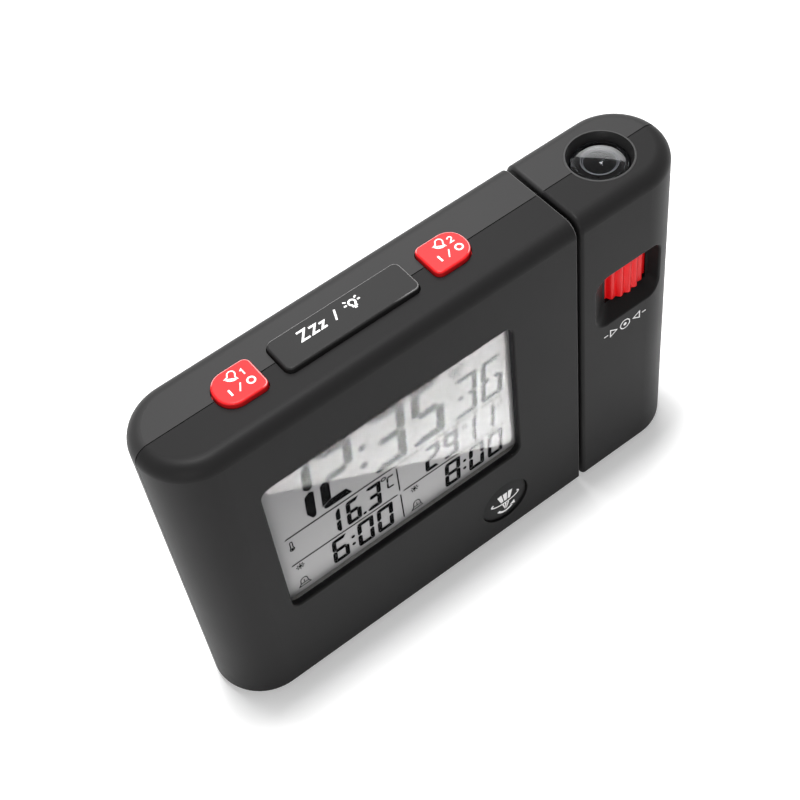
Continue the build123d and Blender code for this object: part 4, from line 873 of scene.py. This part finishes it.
class CLOCK_OT_projector(bpy.types.Operator):
    """Finish the lens and its mount, shape the focus wheel and print the focus sign"""
    bl_idname = "clock.projector"
    bl_label = "Projector"

    def execute(self, context):
        finish = context.scene.clock_finish
        paint(["lens_ring"], plastic("lens ring black", finish.ring_black, 0.30, Specular_IOR_Level=0.24))
        paint(["lens_barrel", "projector_tube"],
              plastic("optics black", (0.006, 0.006, 0.0065), 0.6, bump=0.2, Specular_IOR_Level=0.0))
        paint(["rear_lens", "condenser_lens"], clear("lens glass", (0.60, 0.62, 0.64), haze=0.02, ior=1.08))
        paint(["projector_led"], clear("clear diode", (0.95, 0.93, 0.93), haze=0.2, ior=1.5))
        paint(["image_lcd"], plastic("image display", (0.06, 0.065, 0.06), 0.12, grain=2500.0, bump=0.05))
        red = plastic("focus red", finish.wheel_red, 0.30, mottle=0.06, bump=0.15, Specular_IOR_Level=0.2)
        make_piece("ribbed_focus_wheel", self.wheel(*box_mm("focus_wheel")), red, "focus_wheel_body",
                   ["focus_wheel"], smooth_angle=32)
        axis = box_mm("projection_lens")[2]
        _, high, middle = box_mm("lens_barrel")
        radius, rim = high[0] - middle[0], high[2]
        glass = clear("coated lens glass", (0.42, 0.43, 0.45), haze=0.01, ior=1.22)
        make_piece("domed_lens", self.lens(axis, radius, rim), glass, "barrel",
                   ["projection_lens"], smooth_angle=40)
        make_piece("lens_rings", self.lens_rings(axis, rim), metal("ring steel", (0.24, 0.24, 0.245), 0.35),
                   "barrel", smooth_angle=32)
        from_end, above_base = 20.0, 51.7
        low, high, _ = box_mm("head_front_shell")
        print_sign(context, "focus_sign", self.focus_sign(context),
                   (high[0] - from_end, low[1], low[2] + above_base), FRONT, "projector_head")
        return {"FINISHED"}

    def focus_sign(self, context):
        """A ring with a dot, between two arrow heads and two dashes that point at it."""
        thin, _, depth = pens(context)
        drawn = draw([loop(circle(0.0, 0.0, 1.45), thin)], depth)
        drawn.append(plate(circle(0.0, 0.0, 0.5, 16), depth))
        for side in (-1, 1):
            head = np.array([(2.6, 0.0), (4.6, 1.15), (4.6, -1.15)]) * (side, 1)
            dash = np.array([(5.4, 0.0), (6.6, 0.0)]) * (side, 1)
            drawn += draw([loop(head, thin), line(dash, thin)], depth)
        return drawn

    def lens(self, axis, radius, rim):
        """A meniscus turned about the lens axis: two arcs of one curve, a thickness apart, that end in a
        narrow edge on the barrel's rim; an arc's level drops by the ball's radius less its chord height."""
        margin, gap, ball, thick, edge, pole = 0.08, 0.02, 14.3, 0.7, 0.25, 0.3
        wide, seat = radius - margin, rim + gap
        reach = np.linspace(pole, wide, 22)
        drop = ball - np.sqrt(ball ** 2 - reach ** 2)
        apex = seat + edge + drop[-1]
        inner = reach[reach < wide - thick]
        section = np.vstack([np.stack([inner, apex - thick - drop[:len(inner)]], 1),
                             [(wide - thick, seat), (wide, seat)],
                             np.stack([reach, apex - drop], 1)[::-1]])
        return turned(section, axis, capped=True)

    def lens_rings(self, axis, rim):
        """Thin bright rings turned about the lens axis under the lens: square sections of one lip."""
        thick = 0.12
        drawn = []
        for radius, lip, level in ((4.12, 0.17, rim + 0.2), (3.72, 0.10, rim - 0.1)):
            section = [(radius, level - thick), (radius + lip, level - thick), (radius + lip, level),
                       (radius, level)]
            drawn.append(turned(section, axis))
        return joined(drawn)

    def wheel(self, low, high, middle):
        """A ring turned about the lens axis: the radius is cut by a rib wave, a triangle of the turn
        angle with a narrow flat on the crown, and the section runs from the bore over chamfered rims."""
        ribs, steps, crown, cut, chamfer, bore = 28, 12, 0.14, 0.7, 0.4, 8.0
        radius, base, top = high[0] - middle[0], low[2], high[2]
        turn = np.linspace(0.0, ribs, ribs * steps, endpoint=False)
        wave = np.abs((turn + 0.5) % 1.0 - 0.5) * 2.0
        valley = np.clip((wave - crown) / (1.0 - crown), 0.0, 1.0) * cut
        section = np.array([(bore, base), (radius - cut - chamfer, base), (radius - chamfer, base),
                            (radius, base + chamfer), (radius, top - chamfer), (radius - chamfer, top),
                            (radius - cut - chamfer, top), (bore, top)])
        cut_share = np.array([0.0, 0.0, 1.0, 1.0, 1.0, 1.0, 0.0, 0.0])
        return turned(section, middle, len(turn), cut=valley[:, None] * cut_share[None, :])


class CLOCK_OT_battery(bpy.types.Operator):
    """Finish the cells and contacts and wind the contact springs"""
    bl_idname = "clock.battery"
    bl_label = "Battery bay"

    def execute(self, context):
        paint(["battery_cells"], self.cell_sleeve())
        steel = metal("contact steel", (0.56, 0.55, 0.53), 0.3)
        paint(["battery_contacts", "spring_washer"], steel)
        paint(["battery_leads", "buzzer_leads"], plastic("lead sleeve", (0.32, 0.018, 0.018), 0.5))
        low, high, middle = box_mm("battery_springs")
        radius = 3.0
        left = self.coil((low[0], middle[1], high[2] - radius), 1.0)
        right = self.coil((high[0], middle[1], low[2] + radius), -1.0)
        make_piece("contact_springs", joined([left, right]), steel, "clock_body",
                   ["battery_springs"], smooth_angle=60)
        return {"FINISHED"}

    def coil(self, start, way):
        """A round wire carried along a cone's helix: the turn grows evenly while the coil's radius
        shrinks from the plate to the cell, and the wire's ring stands on the outward and axial ways."""
        wire, turns, length, wide, narrow, around, steps = 0.35, 4.5, 3.3, 2.6, 1.9, 10, 140
        share = np.linspace(0.0, 1.0, steps)[:, None]
        turn = share * turns * 2 * math.pi
        ring = np.linspace(0.0, 2 * math.pi, around, endpoint=False)[None, :]
        reach = wide + (narrow - wide) * share + wire * np.cos(ring)
        along = wire + length * share + wire * np.sin(ring)
        points = np.stack([start[0] + way * along, start[1] + reach * np.cos(turn),
                           start[2] + reach * np.sin(turn)], -1).reshape(-1, 3)
        faces = [side[:1] + side[:0:-1] for side in grid_faces(steps, around, False)]
        faces += [list(range(around))[::-1], list(range(len(points) - around, len(points)))]
        if way > 0:
            faces = [face[::-1] for face in faces]
        return points, faces

    def cell_sleeve(self):
        """A printed sleeve: a dark band and a light band along each cell, bare metal at both ends. The
        upper cell points to +X and the lower to -X, so the place along it is turned round below."""
        metal_end, scuff_scale, scuff = (0.55, 0.54, 0.52, 1), 400.0, 0.6
        stops = [(0.0, metal_end), (0.10, (0.03, 0.05, 0.10, 1)), (0.60, (0.45, 0.46, 0.48, 1)),
                 (0.64, (0.10, 0.22, 0.16, 1)), (0.93, metal_end)]
        low, high, middle = (corner * MM for corner in box_mm("battery_cells"))
        material, tree, shader = bare_material("cell sleeve")
        place = object_place(tree)
        parts = add_node(tree, "ShaderNodeSeparateXYZ", {0: place}).outputs
        upper = arithmetic(tree, "GREATER_THAN", parts["Z"], middle[2])
        way = arithmetic(tree, "SUBTRACT", arithmetic(tree, "MULTIPLY", upper, 2.0), 1.0)
        along = arithmetic(tree, "MULTIPLY", arithmetic(tree, "SUBTRACT", parts["X"], middle[0]), way)
        share = arithmetic(tree, "ADD", arithmetic(tree, "DIVIDE", along, high[0] - low[0]), 0.5)
        bands = add_node(tree, "ShaderNodeValToRGB", {"Fac": share})
        ramp = bands.color_ramp
        ramp.interpolation = "CONSTANT"
        for stop, (where, colour) in enumerate(stops):
            point = ramp.elements[0] if stop == 0 else ramp.elements.new(where)
            point.position, point.color = where, colour
        ramp.elements.remove(ramp.elements[-1])
        roughness = arithmetic(tree, "MULTIPLY", noise(tree, place, scuff_scale), scuff)
        feed(tree, shader, {"Base Color": bands.outputs["Color"], "Roughness": roughness})
        return material


class CLOCK_OT_inside(bpy.types.Operator):
    """Finish the boards, switches, antenna, buzzer and swivel inside the casing"""
    bl_idname = "clock.inside"
    bl_label = "Inside"

    def execute(self, context):
        paint(["main_board", "key_board", "projector_board"],
              ruled("board green", (0.030, 0.125, 0.055), (0.018, 0.075, 0.032), (420.0, 0.0, 420.0), 0.38))
        paint(["controller_chip"], plastic("chip blob", (0.010, 0.010, 0.011), 0.3, grain=900.0))
        paint(["quartz_crystal"], metal("crystal can", (0.62, 0.62, 0.60), 0.22))
        paint(["board_screws", "key_board_screws"], metal("board screws", (0.52, 0.51, 0.49), 0.32))
        paint(["key_switches", "setting_switches", "cable_socket"],
              plastic("switch housing", (0.030, 0.030, 0.031), 0.42))
        paint(["antenna_rod"], plastic("ferrite", (0.045, 0.043, 0.042), 0.62, grain=1800.0, bump=0.6))
        paint(["antenna_coil"], ruled("copper winding", (0.62, 0.22, 0.08), (0.16, 0.05, 0.02),
                                      (1500.0, 0.0, 0.0), 0.3, bump=0.9, Metallic=0.8))
        paint(["buzzer"], plastic("buzzer case", (0.016, 0.016, 0.017), 0.4))
        paint(["board_ribbon"], ruled("ribbon cable", (0.52, 0.52, 0.50), (0.30, 0.30, 0.30),
                                      (700.0, 0.0, 0.0), 0.45))
        paint(["head_cable"], plastic("cable sheath", (0.20, 0.20, 0.21), 0.5))
        paint(["zebra_strips"], ruled("contact strip", (0.05, 0.05, 0.05), (0.42, 0.16, 0.16),
                                      (900.0, 0.0, 0.0), 0.55))
        paint(["backlight_plate", "lcd_holder"], plastic("white light guide", (0.72, 0.72, 0.70), 0.4))
        paint(["swivel_hub"], plastic("hub nylon", (0.05, 0.05, 0.05), 0.45))
        return {"FINISHED"}


class CLOCK_OT_stage(bpy.types.Operator):
    """Set up the floor, the lights, the room and the camera"""
    bl_idname = "clock.stage"
    bl_label = "Stage"

    def execute(self, context):
        studio = context.scene.clock_studio
        self.floor(context, studio)
        self.room(context, studio)
        clock, lens = Vector((0.0, 0.0, 0.05)), Vector(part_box("projection_lens")[1])
        key = self.softbox(context, "overhead lamp", (-0.02, 0.10, 1.20), clock, (0.18, 0.18),
                           studio.key_power)
        top = self.softbox(context, "top softbox", (0.30, 0.50, 0.80), clock, (0.50, 0.50), studio.top_power)
        self.softbox(context, "side strip", (-0.55, 0.10, 0.30), clock, (0.16, 0.50), studio.side_power)
        self.softbox(context, "front softbox", (-0.62, -0.62, 0.30), clock, (0.50, 0.40), studio.front_power)
        window = self.window_sheen(context, studio)
        card = self.softbox(context, "lens sheen", lens + Vector((0.367, 0.330, 0.12)), lens, (0.75, 0.75),
                            studio.lens_sheen)
        card.data.shape = "DISK"
        glint = self.softbox(context, "lens glint", lens + Vector((0.324, 0.315, 0.78)), lens, (0.08, 0.08),
                             studio.lens_glint)
        domed_lens = bpy.data.objects["domed_lens"]
        for lamp in (key, top):
            self.link_lamp(lamp, domed_lens, "EXCLUDE")
        for lamp, piece in ((card, domed_lens), (glint, domed_lens), (window, frame["nodes"]["lcd_window"])):
            self.link_lamp(lamp, piece, "INCLUDE")
            lamp.visible_diffuse = False
        self.camera(context, studio)
        context.scene.view_settings.view_transform = "Standard"
        return {"FINISHED"}

    def camera(self, context, studio):
        """The camera, placed, turned and shifted as its settings say."""
        camera = bpy.data.objects.new("camera", bpy.data.cameras.new("camera"))
        context.scene.collection.objects.link(camera)
        camera.matrix_world = (Matrix.Translation(studio.camera_place)
                               @ Euler(studio.camera_turn, "XYZ").to_matrix().to_4x4())
        camera.data.sensor_width = 36.0
        camera.data.lens = studio.lens
        camera.data.shift_x, camera.data.shift_y = studio.shift_across, studio.shift_up
        camera.data.clip_start, camera.data.clip_end = 0.01, 20.0
        context.scene.camera = camera

    def floor(self, context, studio):
        """A square floor under the clock that keeps the shadow; the camera sees it fade to white further
        out."""
        reach, fade_start, fade_end = 4.0, 0.4, 0.8
        mesh = bpy.data.meshes.new("floor")
        mesh.from_pydata([(-reach, -reach, 0), (reach, -reach, 0), (reach, reach, 0), (-reach, reach, 0)],
                         [], [(0, 1, 2, 3)])
        floor = bpy.data.objects.new("floor", mesh)
        context.scene.collection.objects.link(floor)
        material, tree, shader = bare_material("floor paper")
        far = add_node(tree, "ShaderNodeVectorMath", {0: object_place(tree)}, operation="LENGTH")
        lift = add_node(tree, "ShaderNodeMapRange", {
            "Value": far.outputs["Value"], "From Min": fade_start, "From Max": fade_end,
            "To Min": studio.floor_lift, "To Max": 1.0})
        glow = arithmetic(tree, "MULTIPLY", self.looked_at(tree), lift.outputs["Result"])
        feed(tree, shader, {"Base Color": opaque(studio.floor_white), "Roughness": 0.9,
                            "Specular IOR Level": 0.0, "Emission Color": opaque((1.0, 1.0, 1.0)),
                            "Emission Strength": glow})
        mesh.materials.append(material)

    def room(self, context, studio):
        """Even light for the clock; the camera, glass and gloss see a white room instead."""
        world = bpy.data.worlds.new("room")
        context.scene.world = world
        world.use_nodes = True
        tree = world.node_tree
        level = add_node(tree, "ShaderNodeMapRange", {"Value": self.looked_at(tree), "To Min": studio.room,
                                                      "To Max": 1.0})
        feed(tree, tree.nodes["Background"], {"Color": opaque((1.0, 1.0, 1.0)),
                                              "Strength": level.outputs["Result"]})

    def looked_at(self, tree):
        """One where the camera, gloss or glass looks, none where the surface only sends light on."""
        path = add_node(tree, "ShaderNodeLightPath").outputs
        mirrored = arithmetic(tree, "MAXIMUM", path["Is Glossy Ray"], path["Is Transmission Ray"])
        return arithmetic(tree, "MAXIMUM", path["Is Camera Ray"], mirrored)

    def area_lamp(self, context, name, place, turn, size, power):
        """A rectangle of light that the camera doesn't see."""
        lamp = bpy.data.lights.new(name, "AREA")
        lamp.shape, lamp.size, lamp.size_y, lamp.energy = "RECTANGLE", size[0], size[1], power
        holder = bpy.data.objects.new(name, lamp)
        context.scene.collection.objects.link(holder)
        holder.matrix_world = Matrix.Translation(place) @ turn.to_4x4()
        holder.visible_camera = False
        return holder

    def softbox(self, context, name, place, target, size, power):
        """A lamp aimed at a point."""
        aim = (target - Vector(place)).to_track_quat("-Z", "Y")
        return self.area_lamp(context, name, place, aim.to_matrix(), size, power)

    def window_sheen(self, context, studio):
        """A low reflector in front of the clock for the display window to mirror. One edge lies along the
        line on the floor that the window shows as the border of its sheen."""
        edge_start, edge_end = Vector((-32.5, -59.65, 3.0)) * MM, Vector((29.85, -28.86, 3.0)) * MM
        length, width = 0.30, 0.25
        along = (edge_end - edge_start).normalized()
        away = Vector((along.y, -along.x, 0.0))
        place = (edge_start + edge_end) / 2 + away * width / 2
        turn = Matrix((along, away, Vector((0.0, 0.0, -1.0)))).transposed()
        return self.area_lamp(context, "window sheen", place, turn, (length, width), studio.window_sheen)

    def link_lamp(self, lamp, piece, state):
        """Keeps a lamp's light to one piece, or keeps it off that piece."""
        lit = bpy.data.collections.new(lamp.name + " receiver")
        lit.objects.link(piece)
        lit.collection_objects[0].light_linking.link_state = state
        lamp.light_linking.receiver_collection = lit


class CLOCK_PT_panel(bpy.types.Panel):
    """Lists the clock's pieces and settings"""
    bl_idname = "CLOCK_PT_panel"
    bl_label = "Clock"
    bl_space_type = "VIEW_3D"
    bl_region_type = "UI"
    bl_category = "Clock"

    def draw(self, context):
        for operator in OPERATORS:
            self.layout.operator(operator.bl_idname)
        for settings in SETTINGS:
            group = getattr(context.scene, settings)
            for name in group.bl_rna.properties.keys():
                if name not in ("rna_type", "name"):
                    self.layout.prop(group, name)


OPERATORS = (CLOCK_OT_casing, CLOCK_OT_top_buttons, CLOCK_OT_front_button, CLOCK_OT_rear_buttons,
             CLOCK_OT_display, CLOCK_OT_projector, CLOCK_OT_battery, CLOCK_OT_inside, CLOCK_OT_stage)
SETTINGS = {"clock_finish": ClockFinish, "clock_display": ClockDisplay, "clock_legend": ClockLegend,
            "clock_studio": ClockStudio}


def register():
    """Makes the settings, operators and panel known to Blender."""
    for kind in (*SETTINGS.values(), *OPERATORS, CLOCK_PT_panel):
        bpy.utils.register_class(kind)
    for name, kind in SETTINGS.items():
        setattr(bpy.types.Scene, name, bpy.props.PointerProperty(type=kind))


def unregister():
    """Takes them away again."""
    for name in SETTINGS:
        delattr(bpy.types.Scene, name)
    for kind in (CLOCK_PT_panel, *reversed(OPERATORS), *SETTINGS.values()):
        bpy.utils.unregister_class(kind)


def main():
    """Builds every piece in order."""
    register()
    bpy.ops.clock.casing()
    bpy.ops.clock.top_buttons()
    bpy.ops.clock.front_button()
    bpy.ops.clock.rear_buttons()
    bpy.ops.clock.display()
    bpy.ops.clock.projector()
    bpy.ops.clock.battery()
    bpy.ops.clock.inside()
    bpy.ops.clock.stage()


if __name__ == "__main__":
    main()
